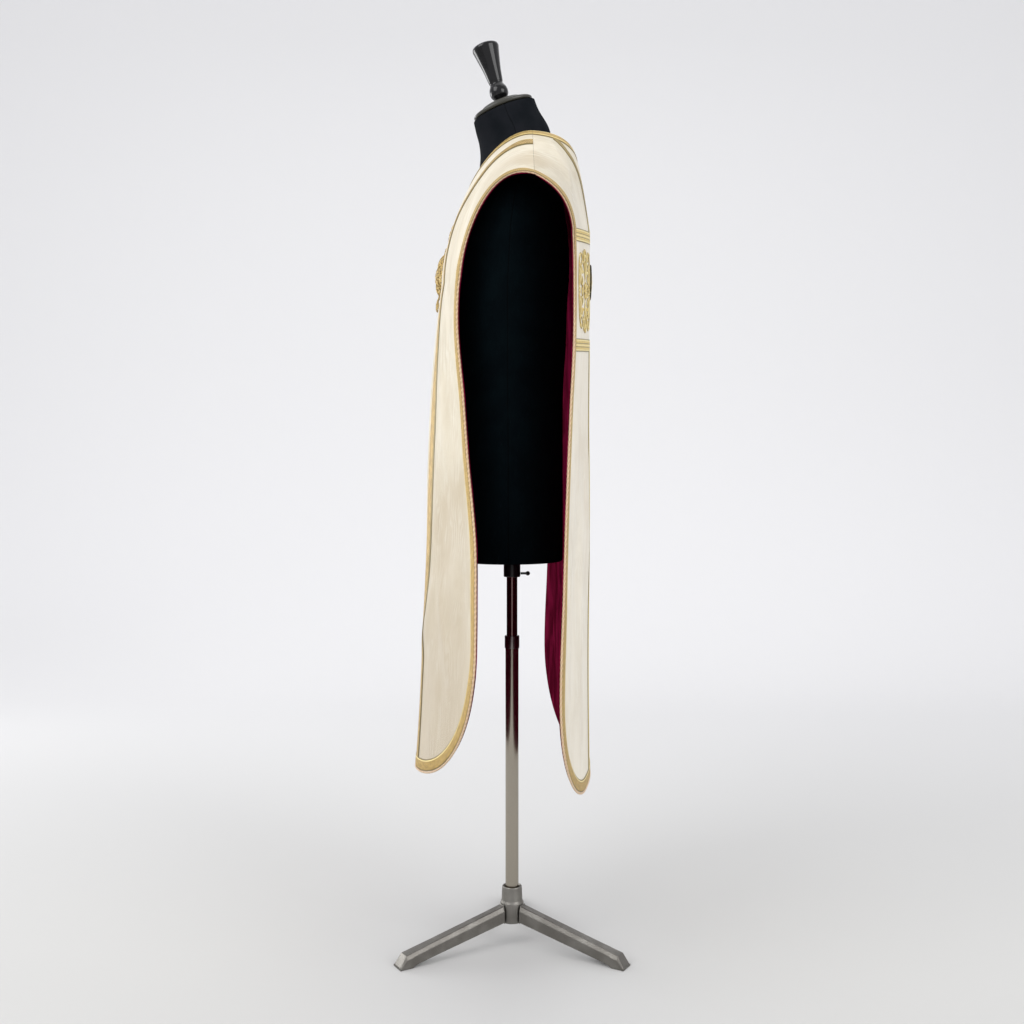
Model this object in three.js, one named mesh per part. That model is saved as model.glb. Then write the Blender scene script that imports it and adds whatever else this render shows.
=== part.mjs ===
// Fiddleback chasuble on a limbless dress form, a telescopic pole and a tripod stand.
// Millimetres, +Z up. The origin is on the floor under the pole. The garment's front faces -Y.
import * as THREE from 'three';

// ---------- Driving dimensions ----------
const GAP = 0.3;
const PANEL_WALL = 1.2;
const LINING_WALL = 1.0;
const TRIM_WALL = 1.2;
const EDGE_GALLOON = 15;
const NECK_GALLOON = 19;
const CORD_SIZE = 3;
const COLUMN_BRAID = 20;
const NECK_HALF = 75;
const SHOULDER_HALF = 255;
const SEAM_Y = 33;
const SEAM_NECK_HEIGHT = 1338;
const SEAM_FALL = { steep: 0.927, ease: 0.0011, knee: 20 };

// Heights of the layers of cloth above the middle of the silk, along its outward normal.
const SILK = { low: -PANEL_WALL / 2, high: PANEL_WALL / 2 };
const LINING = { low: SILK.low - GAP - LINING_WALL, high: SILK.low - GAP };
const TRIM = { low: SILK.high + GAP, high: SILK.high + GAP + TRIM_WALL };

// Each panel: which way it faces (out), at how many degrees it leaves the shoulder seam (slant) and
// for what share of its way it keeps near the seam's and the chest's direction (leave, arrive),
// each at the centre and for each mm across, and how far it leans in above the chest (lean). Then
// where its neck edge and arm edge run, how far out its column braid reaches at some shares of the
// way from the seam to the chest (column), its straight cross lines from the chest line to the
// start of the hem corner, and its round hem corner.
// A section gives, at one height, the place of the centre line (y), how far out the cloth hangs
// flat (flat), how sharply it turns back there (power), how fast it then goes back to the sides
// (spread), how much faster on one side (twist), and the half width of the panel (half).
const FRONT = {
  out: -1,
  slant: { centre: 3, perMm: -0.06 },
  leave: { centre: 0.42, perMm: 0.00104 },
  arrive: { centre: 0.41, perMm: 0.00012 },
  lean: 0,
  neck: { at: 0.48, half: 47, lift: 0.025, galloon: 0.057 },
  armPower: 1.02,
  column: [[0, 126], [0.12, 131], [0.4, 131], [0.5, 125], [0.66, 98], [0.84, 82], [1, 80]],
  lines: [
    { height: 1100, fall: 0.1, steps: 10 },
    { height: 518, fall: 0, steps: 0 },
  ],
  corner: { centre: 75, width: 212, height: 206 },
  hem: 312,
  sections: [
    { z: 312, y: -157.2, flat: 68, power: 6, spread: 0.333, twist: 0.104, half: 287 },
    { z: 400, y: -152.2, flat: 68, power: 6, spread: 0.333, twist: 0.104, half: 287 },
    { z: 527, y: -147.2, flat: 68, power: 6, spread: 0.327, twist: 0.104, half: 287 },
    { z: 591, y: -144.7, flat: 67, power: 6, spread: 0.326, twist: 0.104, half: 282 },
    { z: 684, y: -141.7, flat: 66, power: 6, spread: 0.343, twist: 0.106, half: 261 },
    { z: 804, y: -138.2, flat: 64, power: 6, spread: 0.338, twist: 0.11, half: 225 },
    { z: 904, y: -134.2, flat: 64, power: 5, spread: 0.338, twist: 0.104, half: 199 },
    { z: 1013, y: -126.9, flat: 70, power: 3.4, spread: 0.301, twist: 0.061, half: 187 },
    { z: 1100, y: -119.3, flat: 90, power: 2, spread: 0.333, twist: 0.016, half: 190 },
  ],
};
const BACK = {
  out: 1,
  slant: { centre: -5, perMm: 0.111 },
  leave: { centre: 0.87, perMm: -0.0009 },
  arrive: { centre: 0.85, perMm: -0.00136 },
  lean: 0.145,
  neck: { at: 0.425, half: 55, lift: 0.06, galloon: 0.133 },
  armPower: 0.82,
  column: [[0, 99], [0.11, 99], [0.2, 98.5], [0.32, 107], [0.6, 109], [1, 100]],
  lines: [
    { height: 1190, fall: 0.21, steps: 1 },
    { height: 1169.5, fall: 0.205, steps: 3 },
    { height: 1012.5, fall: 0.144, steps: 1 },
    { height: 992.5, fall: 0.14, steps: 8 },
    { height: 456, fall: 0, steps: 0 },
  ],
  corner: { centre: 150, width: 185, height: 158 },
  hem: 298,
  sections: [
    { z: 300, y: 128, flat: 200, power: 2, spread: 0.309, twist: 0, half: 335 },
    { z: 475, y: 126.8, flat: 200, power: 2, spread: 0.314, twist: 0, half: 335 },
    { z: 604, y: 127.3, flat: 200, power: 2, spread: 0.306, twist: 0, half: 325 },
    { z: 744, y: 128.3, flat: 200, power: 2, spread: 0.304, twist: 0, half: 310 },
    { z: 870, y: 126.8, flat: 200, power: 2, spread: 0.277, twist: 0, half: 299 },
    { z: 968, y: 127.3, flat: 200, power: 2, spread: 0.26, twist: 0, half: 290 },
    { z: 1076, y: 128.2, flat: 200, power: 2, spread: 0.271, twist: 0, half: 282 },
    { z: 1130, y: 128.6, flat: 200, power: 2, spread: 0.292, twist: 0, half: 275 },
    { z: 1190, y: 127.9, flat: 200, power: 2, spread: 0.296, twist: 0, half: 274 },
  ],
};
// Where the straight cross lines of the back become the edges of the cross's two bands.
const UPPER_BAND_LINE = 0;
const LOWER_BAND_LINE = 2;

// The grid of a panel: columns from the centre line (0) to the side edge (EDGE), either side.
const EDGE = 8;
const NECK_COLUMN = 2;
const BRAID_INNER = 3;
const BRAID_OUTER = 4;
const GALLOON_COLUMN = 7;
const NECK_ROWS = [0, 0.25, 0.5, 0.75];
const CHEST_ROWS = [0.3, 0.65];
// The round corner: the angle of its middle, half the angle the mitre takes, and how many rows
// and at what angles columns meet the hem on the way there.
const CORNER = { middle: 50, mitre: 2.2, rows: 4, hemAngles: { 5: 77, 6: 63 } };

// ---------- Colours ----------
const matt = (color, roughness) => new THREE.MeshStandardMaterial({ color, roughness, metalness: 0 });
const metal = (color, roughness) => new THREE.MeshStandardMaterial({ color, roughness, metalness: 1 });
const IVORY_SILK = () => matt(0xe6dcc3, 0.6);
const CRIMSON_SATIN = () => matt(0x6d1026, 0.45);
const GOLD_BRAID = () => new THREE.MeshStandardMaterial({ color: 0xb8893a, roughness: 0.5, metalness: 0.4 });
const PEACH_CORD = () => matt(0xc98a55, 0.7);
const BLACK_JERSEY = () => matt(0x0c0e14, 0.9);
const BLACK_LACQUER = () => matt(0x050507, 0.2);

const object = new THREE.Group();

function add(name, geometry, material) {
  const mesh = new THREE.Mesh(geometry, material);
  mesh.name = name;
  object.add(mesh);
  return mesh;
}

// A closed body from points and triangles, turned so that its faces point outward.
function closedBody(points, triangles) {
  const cross = new THREE.Vector3();
  let volume = 0;
  for (const [a, b, c] of triangles) {
    volume += cross.crossVectors(points[a], points[b]).dot(points[c]);
  }
  const facing = volume > 0 ? triangles : triangles.map(([a, b, c]) => [a, c, b]);
  const geometry = new THREE.BufferGeometry();
  geometry.setAttribute('position', new THREE.Float32BufferAttribute(points.flatMap((p) => p.toArray()), 3));
  geometry.setIndex(facing.flat());
  geometry.computeVertexNormals();
  return geometry;
}

// A closed body through rings of equally many points, with a flat or domed cap at each end.
function throughRings(rings) {
  const count = rings[0].length;
  const points = rings.flat();
  const triangles = [];
  for (let i = 0; i + 1 < rings.length; i += 1) {
    for (let k = 0; k < count; k += 1) {
      const a = i * count + k;
      const b = i * count + (k + 1) % count;
      triangles.push([a, b, b + count], [a, b + count, a + count]);
    }
  }
  for (const [first, turn] of [[0, 1], [(rings.length - 1) * count, 0]]) {
    const middle = new THREE.Vector3();
    for (let k = 0; k < count; k += 1) {
      middle.addScaledVector(points[first + k], 1 / count);
    }
    points.push(middle);
    for (let k = 0; k < count; k += 1) {
      const edge = [first + k, first + (k + 1) % count];
      triangles.push([points.length - 1, edge[turn], edge[1 - turn]]);
    }
  }
  return closedBody(points, triangles);
}

// ---------- The draped surface of a panel ----------
function columnOf(sections, name) {
  const curve = new THREE.CubicInterpolant(sections.map((s) => s.z), sections.map((s) => s[name]), 1);
  const low = sections[0].z;
  const high = sections[sections.length - 1].z;
  return (z) => curve.evaluate(THREE.MathUtils.clamp(z, low, high))[0];
}

// Height of the shoulder seam: level across the neck, then falling, more gently towards the arm.
function seamHeight(x) {
  const fall = (distance) => {
    const ramp = (distance + Math.hypot(distance, SEAM_FALL.knee)) / 2;
    return SEAM_FALL.steep * ramp - SEAM_FALL.ease * ramp ** 2;
  };
  return SEAM_NECK_HEIGHT + fall(0) - fall(Math.abs(x) - NECK_HALF);
}

function drape(panel) {
  const { out } = panel;
  const y = columnOf(panel.sections, 'y');
  const flat = columnOf(panel.sections, 'flat');
  const power = columnOf(panel.sections, 'power');
  const spread = columnOf(panel.sections, 'spread');
  const twist = columnOf(panel.sections, 'twist');
  const half = columnOf(panel.sections, 'half');
  const lineHeight = (line, x) => line.height - line.fall * Math.abs(x);
  const chestHeight = (x) => lineHeight(panel.lines[0], x);

  // Below the chest line the cloth is flat in plan at the centre, and its wings turn back evenly.
  const hang = (x, z) => {
    const wing = (Math.abs(x) ** power(z) + flat(z) ** power(z)) ** (1 / power(z)) - flat(z);
    return new THREE.Vector3(x, y(z) + wing * (Math.sign(x) * twist(z) - out * spread(z)), z);
  };

  // From the seam to the chest line it is a cubic curve that leaves the seam at a slant.
  const shoulder = (x, t) => {
    const top = new THREE.Vector2(SEAM_Y + out * GAP / 2, seamHeight(x));
    const end = hang(x, chestHeight(x));
    const [slant, leaving, arriving] = [panel.slant, panel.leave, panel.arrive]
      .map(({ centre, perMm }) => centre + perMm * Math.abs(x));
    const run = (end.y - top.x) * leaving;
    const rise = (top.y - end.z) * arriving;
    const leave = new THREE.Vector2(top.x + run, top.y - Math.abs(run) * Math.tan(slant * Math.PI / 180));
    const arrive = new THREE.Vector2(end.y - out * panel.lean * rise, end.z + rise);
    const curve = new THREE.CubicBezierCurve(top, leave, arrive, new THREE.Vector2(end.y, end.z));
    const point = curve.getPoint(t);
    return new THREE.Vector3(x, point.x, point.y);
  };

  // The cloth at a place across and a height, and its outward normal there.
  const at = (x, z) => {
    if (z <= chestHeight(x)) {
      return hang(x, z);
    }
    let low = 0;
    let high = 1;
    for (let i = 0; i < 30; i += 1) {
      const middle = (low + high) / 2;
      if (shoulder(x, middle).z > z) {
        low = middle;
      } else {
        high = middle;
      }
    }
    return shoulder(x, low);
  };
  const normalAt = (x, z) => {
    const across = at(x + 1, z).sub(at(x - 1, z));
    const up = at(x, z + 1).sub(at(x, z - 1));
    return across.cross(up).normalize().multiplyScalar(-out);
  };
  return { hang, shoulder, half, lineHeight, chestHeight, at, normalAt };
}

// ---------- The grid of a panel ----------
const key = (row, col) => `${row},${col}`;

// How far out the column braid reaches at a share of the way from the seam to the chest line.
function columnHalf(panel, share) {
  const next = Math.max(panel.column.findIndex(([at]) => at >= share), 1);
  const [[fromAt, from], [toAt, to]] = [panel.column[next - 1], panel.column[next]];
  return THREE.MathUtils.mapLinear(share, fromAt, toAt, from, to);
}

// Places across for the columns of one row, from the centre or the neck edge to the side edge.
function acrossRow(panel, share, neckX, edgeX, neckOpen) {
  const outer = columnHalf(panel, share);
  const inner = Math.max(outer - COLUMN_BRAID, neckX + NECK_GALLOON);
  const x = { 2: neckX, 3: inner, 4: outer, 7: edgeX - EDGE_GALLOON * 0.93, 8: edgeX };
  if (!neckOpen) {
    x[0] = 0;
    x[1] = neckX * 0.55;
  }
  x[5] = THREE.MathUtils.lerp(x[4], x[7], 1 / 3);
  x[6] = THREE.MathUtils.lerp(x[4], x[7], 2 / 3);
  return x;
}

function gridOf(panel) {
  const cloth = drape(panel);
  const { neck, corner, lines, hem } = panel;
  const points = new Map();
  const put = (row, col, find) => {
    points.set(key(row, col), find(1));
    if (col > 0) {
      points.set(key(row, -col), find(-1));
    }
  };

  // Shoulder rows: beside the neck opening, its lower edge, its galloon's lower edge, the chest.
  const belowNeck = neck.at + neck.galloon;
  const shares = [
    ...NECK_ROWS.map((f) => f * neck.at),
    neck.at,
    belowNeck,
    ...CHEST_ROWS.map((f) => THREE.MathUtils.lerp(belowNeck, 1, f)),
    1,
  ];
  const neckRow = NECK_ROWS.length;
  const chestHalf = cloth.half(cloth.chestHeight(SHOULDER_HALF));
  shares.forEach((share, row) => {
    const besideNeck = Math.min(share / neck.at, 1);
    const neckX = THREE.MathUtils.lerp(NECK_HALF, neck.half, besideNeck ** 3);
    const edgeX = THREE.MathUtils.lerp(SHOULDER_HALF, chestHalf, share ** panel.armPower);
    const lifted = row === neckRow || row === neckRow + 1;
    for (const [col, x] of Object.entries(acrossRow(panel, share, neckX, edgeX, row < neckRow))) {
      const lift = lifted && col <= NECK_COLUMN ? neck.lift * (x / neck.half) ** 2 : 0;
      put(row, Number(col), (side) => cloth.shoulder(side * x, share - lift));
    }
  });

  // Straight rows: between the cross lines of the panel.
  const lineRows = [shares.length - 1];
  let row = shares.length - 1;
  for (let i = 0; i + 1 < lines.length; i += 1) {
    for (let step = 1; step <= lines[i].steps; step += 1) {
      row += 1;
      const share = step / lines[i].steps;
      const line = {
        height: THREE.MathUtils.lerp(lines[i].height, lines[i + 1].height, share),
        fall: THREE.MathUtils.lerp(lines[i].fall, lines[i + 1].fall, share),
      };
      const edgeX = cloth.half(cloth.lineHeight(line, cloth.half(line.height)));
      for (const [col, x] of Object.entries(acrossRow(panel, 1, neck.half, edgeX, false))) {
        put(row, Number(col), (side) => cloth.hang(side * x, cloth.lineHeight(line, x)));
      }
    }
    lineRows.push(row);
  }

  // Corner rows: the side edge follows an ellipse, and the hem row takes it on to the centre.
  const onCorner = (degrees, inward) => {
    const angle = THREE.MathUtils.degToRad(degrees);
    const place = new THREE.Vector2(
      corner.centre + corner.width * Math.cos(angle),
      hem + corner.height * (1 - Math.sin(angle)),
    );
    const outward = new THREE.Vector2(Math.cos(angle) / corner.width, -Math.sin(angle) / corner.height);
    return place.addScaledVector(outward.normalize(), -inward);
  };
  const lastStraight = row;
  const innerRow = lastStraight + CORNER.rows;
  const hemRow = innerRow + 1;
  const flat = acrossRow(panel, 1, neck.half, corner.centre + corner.width, false);
  for (let col = 0; col <= EDGE; col += 1) {
    const angle = { 7: CORNER.middle + CORNER.mitre, 8: CORNER.middle, ...CORNER.hemAngles }[col];
    const onHem = angle ? onCorner(angle, 0) : new THREE.Vector2(flat[col], hem);
    let above = angle ? onCorner(angle, EDGE_GALLOON) : new THREE.Vector2(flat[col], hem + EDGE_GALLOON);
    if (col === GALLOON_COLUMN) {
      above = onCorner(CORNER.middle, EDGE_GALLOON);
    }
    if (col === EDGE) {
      above = onCorner(CORNER.middle - CORNER.mitre, 0);
    }
    const start = new THREE.Vector2(flat[col], hem + corner.height);
    for (let i = 1; i <= CORNER.rows; i += 1) {
      const share = i / CORNER.rows;
      let place = start.clone().lerp(above, share);
      if (col >= GALLOON_COLUMN && i < CORNER.rows) {
        place = onCorner((CORNER.middle - CORNER.mitre) * share, col === EDGE ? 0 : EDGE_GALLOON);
      }
      put(lastStraight + i, col, (side) => cloth.hang(side * place.x, place.y));
    }
    put(hemRow, col, (side) => cloth.hang(side * onHem.x, onHem.y));
  }

  const rows = [...Array(hemRow + 1).keys()];
  const columns = [...Array(2 * EDGE + 1).keys()].map((k) => k - EDGE);
  const grid = { panel, cloth, points, rows, columns, neckRow, lineRows, lastStraight, innerRow, hemRow };
  grid.normals = normalsOf(grid);
  return grid;
}

// The cells between the given rows and columns whose four corners are cloth.
function cellsOf(grid, rows, columns, keep = () => true) {
  const cells = [];
  for (let i = 0; i + 1 < rows.length; i += 1) {
    for (let k = 0; k + 1 < columns.length; k += 1) {
      const corners = [
        key(rows[i], columns[k]),
        key(rows[i], columns[k + 1]),
        key(rows[i + 1], columns[k + 1]),
        key(rows[i + 1], columns[k]),
      ];
      if (corners.every((c) => grid.points.has(c)) && keep(rows[i], columns[k])) {
        cells.push({ corners, right: columns[k] >= 0 });
      }
    }
  }
  return cells;
}

// Each cell is two triangles; the cut runs out towards the hem corner on both sides.
function trianglesOf(grid, cells) {
  return cells.flatMap(({ corners: [a, b, c, d], right }) => {
    const pair = right ? [[a, b, c], [a, c, d]] : [[a, b, d], [b, c, d]];
    return grid.panel.out > 0 ? pair : pair.map(([p, q, r]) => [p, r, q]);
  });
}

// At the shoulder seam the normals lie in the seam's own plane, so both walls end flush there.
function normalsOf(grid) {
  const normals = new Map([...grid.points.keys()].map((k) => [k, new THREE.Vector3()]));
  for (const [a, b, c] of trianglesOf(grid, cellsOf(grid, grid.rows, grid.columns))) {
    const [p, q, r] = [a, b, c].map((k) => grid.points.get(k));
    const area = q.clone().sub(p).cross(r.clone().sub(p));
    [a, b, c].forEach((k) => normals.get(k).add(area));
  }
  for (const [k, normal] of normals) {
    if (k.startsWith('0,')) {
      normal.y = 0;
    }
    normal.normalize();
  }
  return normals;
}

// A wall over some cells of the grid, between two distances from the middle of the silk. Where
// pull names a neighbour for an edge point, the edge stands back towards it by the seam gap.
function wall(grid, cells, layer, pull = () => null) {
  const points = [];
  const index = new Map();
  const place = (k) => {
    if (!index.has(k)) {
      const [row, col] = k.split(',').map(Number);
      const base = grid.points.get(k).clone();
      const towards = pull(row, col);
      if (towards) {
        base.add(grid.points.get(key(...towards)).clone().sub(base).setLength(GAP));
      }
      const normal = grid.normals.get(k);
      index.set(k, points.length);
      points.push(base.clone().addScaledVector(normal, layer.high), base.addScaledVector(normal, layer.low));
    }
    return index.get(k);
  };
  const triangles = [];
  const edges = new Map();
  for (const corner of trianglesOf(grid, cells)) {
    const [a, b, c] = corner.map(place);
    triangles.push([a, b, c], [a + 1, c + 1, b + 1]);
    for (const [p, q] of [[a, b], [b, c], [c, a]]) {
      if (!edges.delete(`${q},${p}`)) {
        edges.set(`${p},${q}`, [p, q]);
      }
    }
  }
  for (const [p, q] of edges.values()) {
    triangles.push([q, p, p + 1], [q, p + 1, q + 1]);
  }
  return closedBody(points, triangles);
}

// ---------- The chasuble ----------
const SIDES = [{ name: 'left', sign: 1 }, { name: 'right', sign: -1 }];
const front = gridOf(FRONT);
const back = gridOf(BACK);

// Columns from one to another on one side of the centre, always running from -X to +X.
function columnsOn(sign, from, to) {
  const run = [...Array(to - from + 1).keys()].map((k) => sign * (from + k));
  return sign > 0 ? run : run.reverse();
}
const rowsFrom = (from, to) => [...Array(to - from + 1).keys()].map((k) => from + k);

// The sewn edge: a square-set cord that runs down one side, round the hem and up the other.
function edgeCord(grid) {
  const path = [
    ...grid.rows.slice(0, -1).map((row) => [row, EDGE]),
    ...[...grid.columns].reverse().map((col) => [grid.hemRow, col]),
    ...grid.rows.slice(0, -1).reverse().map((row) => [row, -EDGE]),
  ];
  const places = path.map(([row, col]) => grid.points.get(key(row, col)));
  const rings = path.map(([row, col], i) => {
    const before = places[Math.max(i - 1, 0)];
    const after = places[Math.min(i + 1, places.length - 1)];
    const along = after.clone().sub(before).normalize();
    const normal = grid.normals.get(key(row, col));
    const outward = along.clone().cross(normal).multiplyScalar(grid.panel.out);
    if (row === 0) {
      outward.y = 0;
    }
    outward.normalize();
    const middle = places[i].clone().addScaledVector(outward, GAP + CORD_SIZE / 2);
    middle.addScaledVector(normal, -GAP);
    return [[1, 0], [0, 1], [-1, 0], [0, -1]].map(([u, v]) => middle.clone()
      .addScaledVector(outward, u * CORD_SIZE / 2)
      .addScaledVector(normal, v * CORD_SIZE / 2));
  });
  return throughRings(rings);
}

function dress(grid, side) {
  const { rows, columns, neckRow, innerRow } = grid;
  add(`${side}_panel`, wall(grid, cellsOf(grid, rows, columns), SILK), IVORY_SILK());

  // The lining hangs in fewer, wider facets across the middle than the silk.
  const liningColumns = columns.filter((c) => Math.abs(c) !== 1);
  add(`${side}_lining`, wall(grid, cellsOf(grid, rows, liningColumns), LINING), CRIMSON_SATIN());

  const onEdge = (r, c) => r >= innerRow || c >= GALLOON_COLUMN || c < -GALLOON_COLUMN;
  add(`${side}_edge_galloon`, wall(grid, cellsOf(grid, rows, columns, onEdge), TRIM), GOLD_BRAID());
  add(`${side}_edge_cord`, edgeCord(grid), PEACH_CORD());

  const neckColumns = columns.filter((c) => Math.abs(c) <= BRAID_INNER);
  const neckCells = cellsOf(grid, rowsFrom(0, neckRow + 1), neckColumns);
  const fromBraid = (r, c) => (Math.abs(c) === BRAID_INNER ? [r, Math.sign(c) * NECK_COLUMN] : null);
  add(`${side}_neck_galloon`, wall(grid, neckCells, TRIM, fromBraid), GOLD_BRAID());
}
dress(front, 'front');
dress(back, 'back');

for (const { name, sign } of SIDES) {
  const braid = columnsOn(sign, BRAID_INNER, BRAID_OUTER);
  const arm = columnsOn(sign, BRAID_INNER, GALLOON_COLUMN);
  const overHem = (grid) => (r, c) => (r === grid.innerRow ? [r - 1, c] : null);
  const frontCells = cellsOf(front, rowsFrom(0, front.innerRow), braid);
  add(`front_column_galloon_${name}`, wall(front, frontCells, TRIM, overHem(front)), GOLD_BRAID());

  // The braid of the back cross turns a corner from the column into the arm, above and below.
  const clear = (r, c) => {
    if (Math.abs(c) === GALLOON_COLUMN) {
      return [r, Math.sign(c) * (GALLOON_COLUMN - 1)];
    }
    return overHem(back)(r, c);
  };
  const upper = back.lineRows[UPPER_BAND_LINE];
  const lower = back.lineRows[LOWER_BAND_LINE];
  const upperCells = [
    ...cellsOf(back, rowsFrom(0, upper), braid),
    ...cellsOf(back, rowsFrom(upper, upper + 1), arm),
  ];
  const lowerCells = [
    ...cellsOf(back, rowsFrom(lower, lower + 1), arm),
    ...cellsOf(back, rowsFrom(lower + 1, back.innerRow), braid),
  ];
  add(`back_cross_galloon_upper_${name}`, wall(back, upperCells, TRIM, clear), GOLD_BRAID());
  add(`back_cross_galloon_lower_${name}`, wall(back, lowerCells, TRIM, clear), GOLD_BRAID());
}

// ---------- Goldwork ----------
// Raised work stands a little clear of the silk, because its finer facets follow the curve closer.
const WORK_LOW = SILK.high + 0.8;
const ARM_WORK = { margin: 9, high: 2.6, across: 5, down: 4 };
const PADS = [
  { name: 'back_medallion', grid: back, z: 1109, halfWidth: 30, halfHeight: 30, rim: 2.4, crown: 5.4 },
  { name: 'front_motif', grid: front, z: 1118, halfWidth: 34, halfHeight: 31, rim: 2.4, crown: 9.5 },
  { name: 'front_upper_motif', grid: front, z: 1193, halfWidth: 20, halfHeight: 16, rim: 2, crown: 4.4 },
];

// Points laid on the cloth: places are arrays of [x, z, height above the middle of the silk].
const layOn = (cloth, places) => places.map(([x, z, height]) => cloth.at(x, z).addScaledVector(
  cloth.normalAt(x, z),
  height,
));

// A domed pad: rings of points from its underside's middle, round its rim, to its crown.
function pad({ grid, z, halfWidth, halfHeight, rim, crown }) {
  const ring = (share, height) => layOn(grid.cloth, [...Array(24).keys()].map((k) => {
    const angle = k * Math.PI / 12;
    return [share * halfWidth * Math.cos(angle), z + share * halfHeight * Math.sin(angle), height];
  }));
  const dome = (share) => rim + (crown - rim) * (1 - share ** 2);
  return throughRings([
    ring(0.4, WORK_LOW), ring(0.75, WORK_LOW), ring(1, WORK_LOW),
    ring(1, dome(1)), ring(0.75, dome(0.75)), ring(0.4, dome(0.4)),
  ]);
}
PADS.forEach((work) => add(work.name, pad(work), GOLD_BRAID()));

// The scrollwork in an arm of the cross, as the thin slab that it fills between the two bands.
function armWork(sign) {
  const { cloth } = back;
  const { margin, high, across, down } = ARM_WORK;
  const top = BACK.lines[1];
  const bottom = BACK.lines[2];
  const rings = [...Array(across + 1).keys()].map((i) => {
    const row = (height) => [...Array(down + 1).keys()].map((k) => {
      const guess = THREE.MathUtils.lerp(top.height, bottom.height, k / down);
      const end = cloth.half(guess - bottom.fall * SHOULDER_HALF) - EDGE_GALLOON - margin;
      const x = THREE.MathUtils.lerp(columnHalf(BACK, 1) + margin, end, i / across);
      const high0 = cloth.lineHeight(top, x) - margin;
      const low0 = cloth.lineHeight(bottom, x) + margin;
      return [sign * x, THREE.MathUtils.lerp(high0, low0, k / down), height];
    });
    return layOn(cloth, [...row(high), ...row(WORK_LOW).reverse()]);
  });
  return throughRings(rings);
}
SIDES.forEach(({ name, sign }) => add(`back_arm_embroidery_${name}`, armWork(sign), GOLD_BRAID()));

// ---------- Dress form ----------
// Level sections of the torso, then sections of the neck that tilt forward to meet the cap.
const TORSO = [
  { z: 643, half: 163, front: -94, back: 83, tilt: 0 },
  { z: 649, half: 167, front: -97, back: 85, tilt: 0 },
  { z: 720, half: 166, front: -98, back: 85, tilt: 0 },
  { z: 800, half: 158, front: -98, back: 85, tilt: 0 },
  { z: 880, half: 152, front: -99, back: 85, tilt: 0 },
  { z: 936, half: 152, front: -101, back: 86, tilt: 0 },
  { z: 1000, half: 158, front: -104, back: 90, tilt: 0 },
  { z: 1065, half: 169, front: -107, back: 94, tilt: 0 },
  { z: 1115, half: 182, front: -106, back: 99, tilt: 0 },
  { z: 1155, half: 192, front: -101, back: 100, tilt: 0 },
  { z: 1190, half: 196, front: -89, back: 97, tilt: 0 },
  { z: 1213, half: 190, front: -78, back: 94, tilt: 0 },
  { z: 1235, half: 170, front: -69, back: 90, tilt: 0 },
  { z: 1255, half: 144, front: -62, back: 86, tilt: 0 },
  { z: 1275, half: 113, front: -57, back: 81, tilt: 0 },
  { z: 1292, half: 88, front: -55, back: 76, tilt: 2 },
  { z: 1310, half: 71, front: -54, back: 71, tilt: 5 },
  { z: 1330, half: 56, front: -53, back: 66, tilt: 9 },
  { z: 1355, half: 46, front: -55, back: 60, tilt: 14 },
  { z: 1378, half: 39, front: -60, back: 46, tilt: 19 },
  { z: 1396.5, half: 35, front: -64, back: 38, tilt: 21 },
];
const TORSO_SIDES = 40;
const CAP = { y: -15, z: 1402, radius: 52, narrower: 0.7, wall: 7.5, step: 38, top: 11, tilt: 21 };
// The turned finial, from the cap upward: radius and distance along its leaning axis.
const FINIAL = { y: -15.8, z: 1408.5, lean: 17 };
const FINIAL_PROFILE = [
  [0, 5.7], [11, 5.7], [9, 7], [11, 10], [14.6, 15], [15.7, 21], [14.6, 27.5], [11.5, 33],
  [11, 36], [12, 39], [15, 60], [19, 80], [22, 94], [22.6, 97], [21.4, 101], [13, 104], [0, 105.5],
];

function torso() {
  return throughRings(TORSO.map(({ z, half, front: near, back: far, tilt }) => {
    const slope = Math.tan(THREE.MathUtils.degToRad(tilt));
    return [...Array(TORSO_SIDES).keys()].map((k) => {
      const angle = 2 * Math.PI * k / TORSO_SIDES;
      const depth = (far - near) / 2 * Math.sin(angle);
      return new THREE.Vector3(half * Math.cos(angle), (near + far) / 2 + depth, z + depth * slope);
    });
  }));
}
add('form_torso', torso(), BLACK_JERSEY());

// A body turned on a lathe, its profile running up the axis from its first point.
function turned(profile, sides) {
  const geometry = new THREE.LatheGeometry(profile.map(([r, h]) => new THREE.Vector2(r, h)), sides);
  geometry.rotateX(Math.PI / 2);
  return geometry;
}

const capProfile = [
  [0, -CAP.wall / 2], [CAP.radius - 3, -CAP.wall / 2], [CAP.radius - 0.8, -CAP.wall / 2 + 1.2],
  [CAP.radius, 0], [CAP.radius - 1.5, 2.2], [CAP.radius - 8, CAP.wall / 2 - 0.4], [CAP.step, CAP.wall / 2],
  [CAP.step - 1.5, CAP.top - 4], [CAP.step - 5, CAP.top - 1.4], [CAP.step - 12, CAP.top - 0.2], [0, CAP.top],
];
const capBody = turned(capProfile, 40);
capBody.scale(CAP.narrower, 1, 1);
const cap = add('form_neck_cap', capBody, BLACK_LACQUER());
cap.position.set(0, CAP.y, CAP.z);
cap.rotation.x = THREE.MathUtils.degToRad(CAP.tilt);

const finial = add('form_finial', turned(FINIAL_PROFILE, 24), BLACK_LACQUER());
finial.position.set(0, FINIAL.y, FINIAL.z);
finial.rotation.x = THREE.MathUtils.degToRad(FINIAL.lean);

// ---------- Pole ----------
const INNER_TUBE = { radius: 9, low: 300, high: 641 };
const OUTER_TUBE = { radius: 11, bore: 9.5, low: 88.3, high: 495 };
const FERRULE = { radius: 12.3, bore: 9.4, low: 495.3, high: 517 };
const SOCKET = { radius: 14, bore: 9.4, low: 615, high: 642.6 };
const SCREW = { z: 621, shaft: 2, from: 14.3, ball: 3.75, middle: 26.5 };

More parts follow.
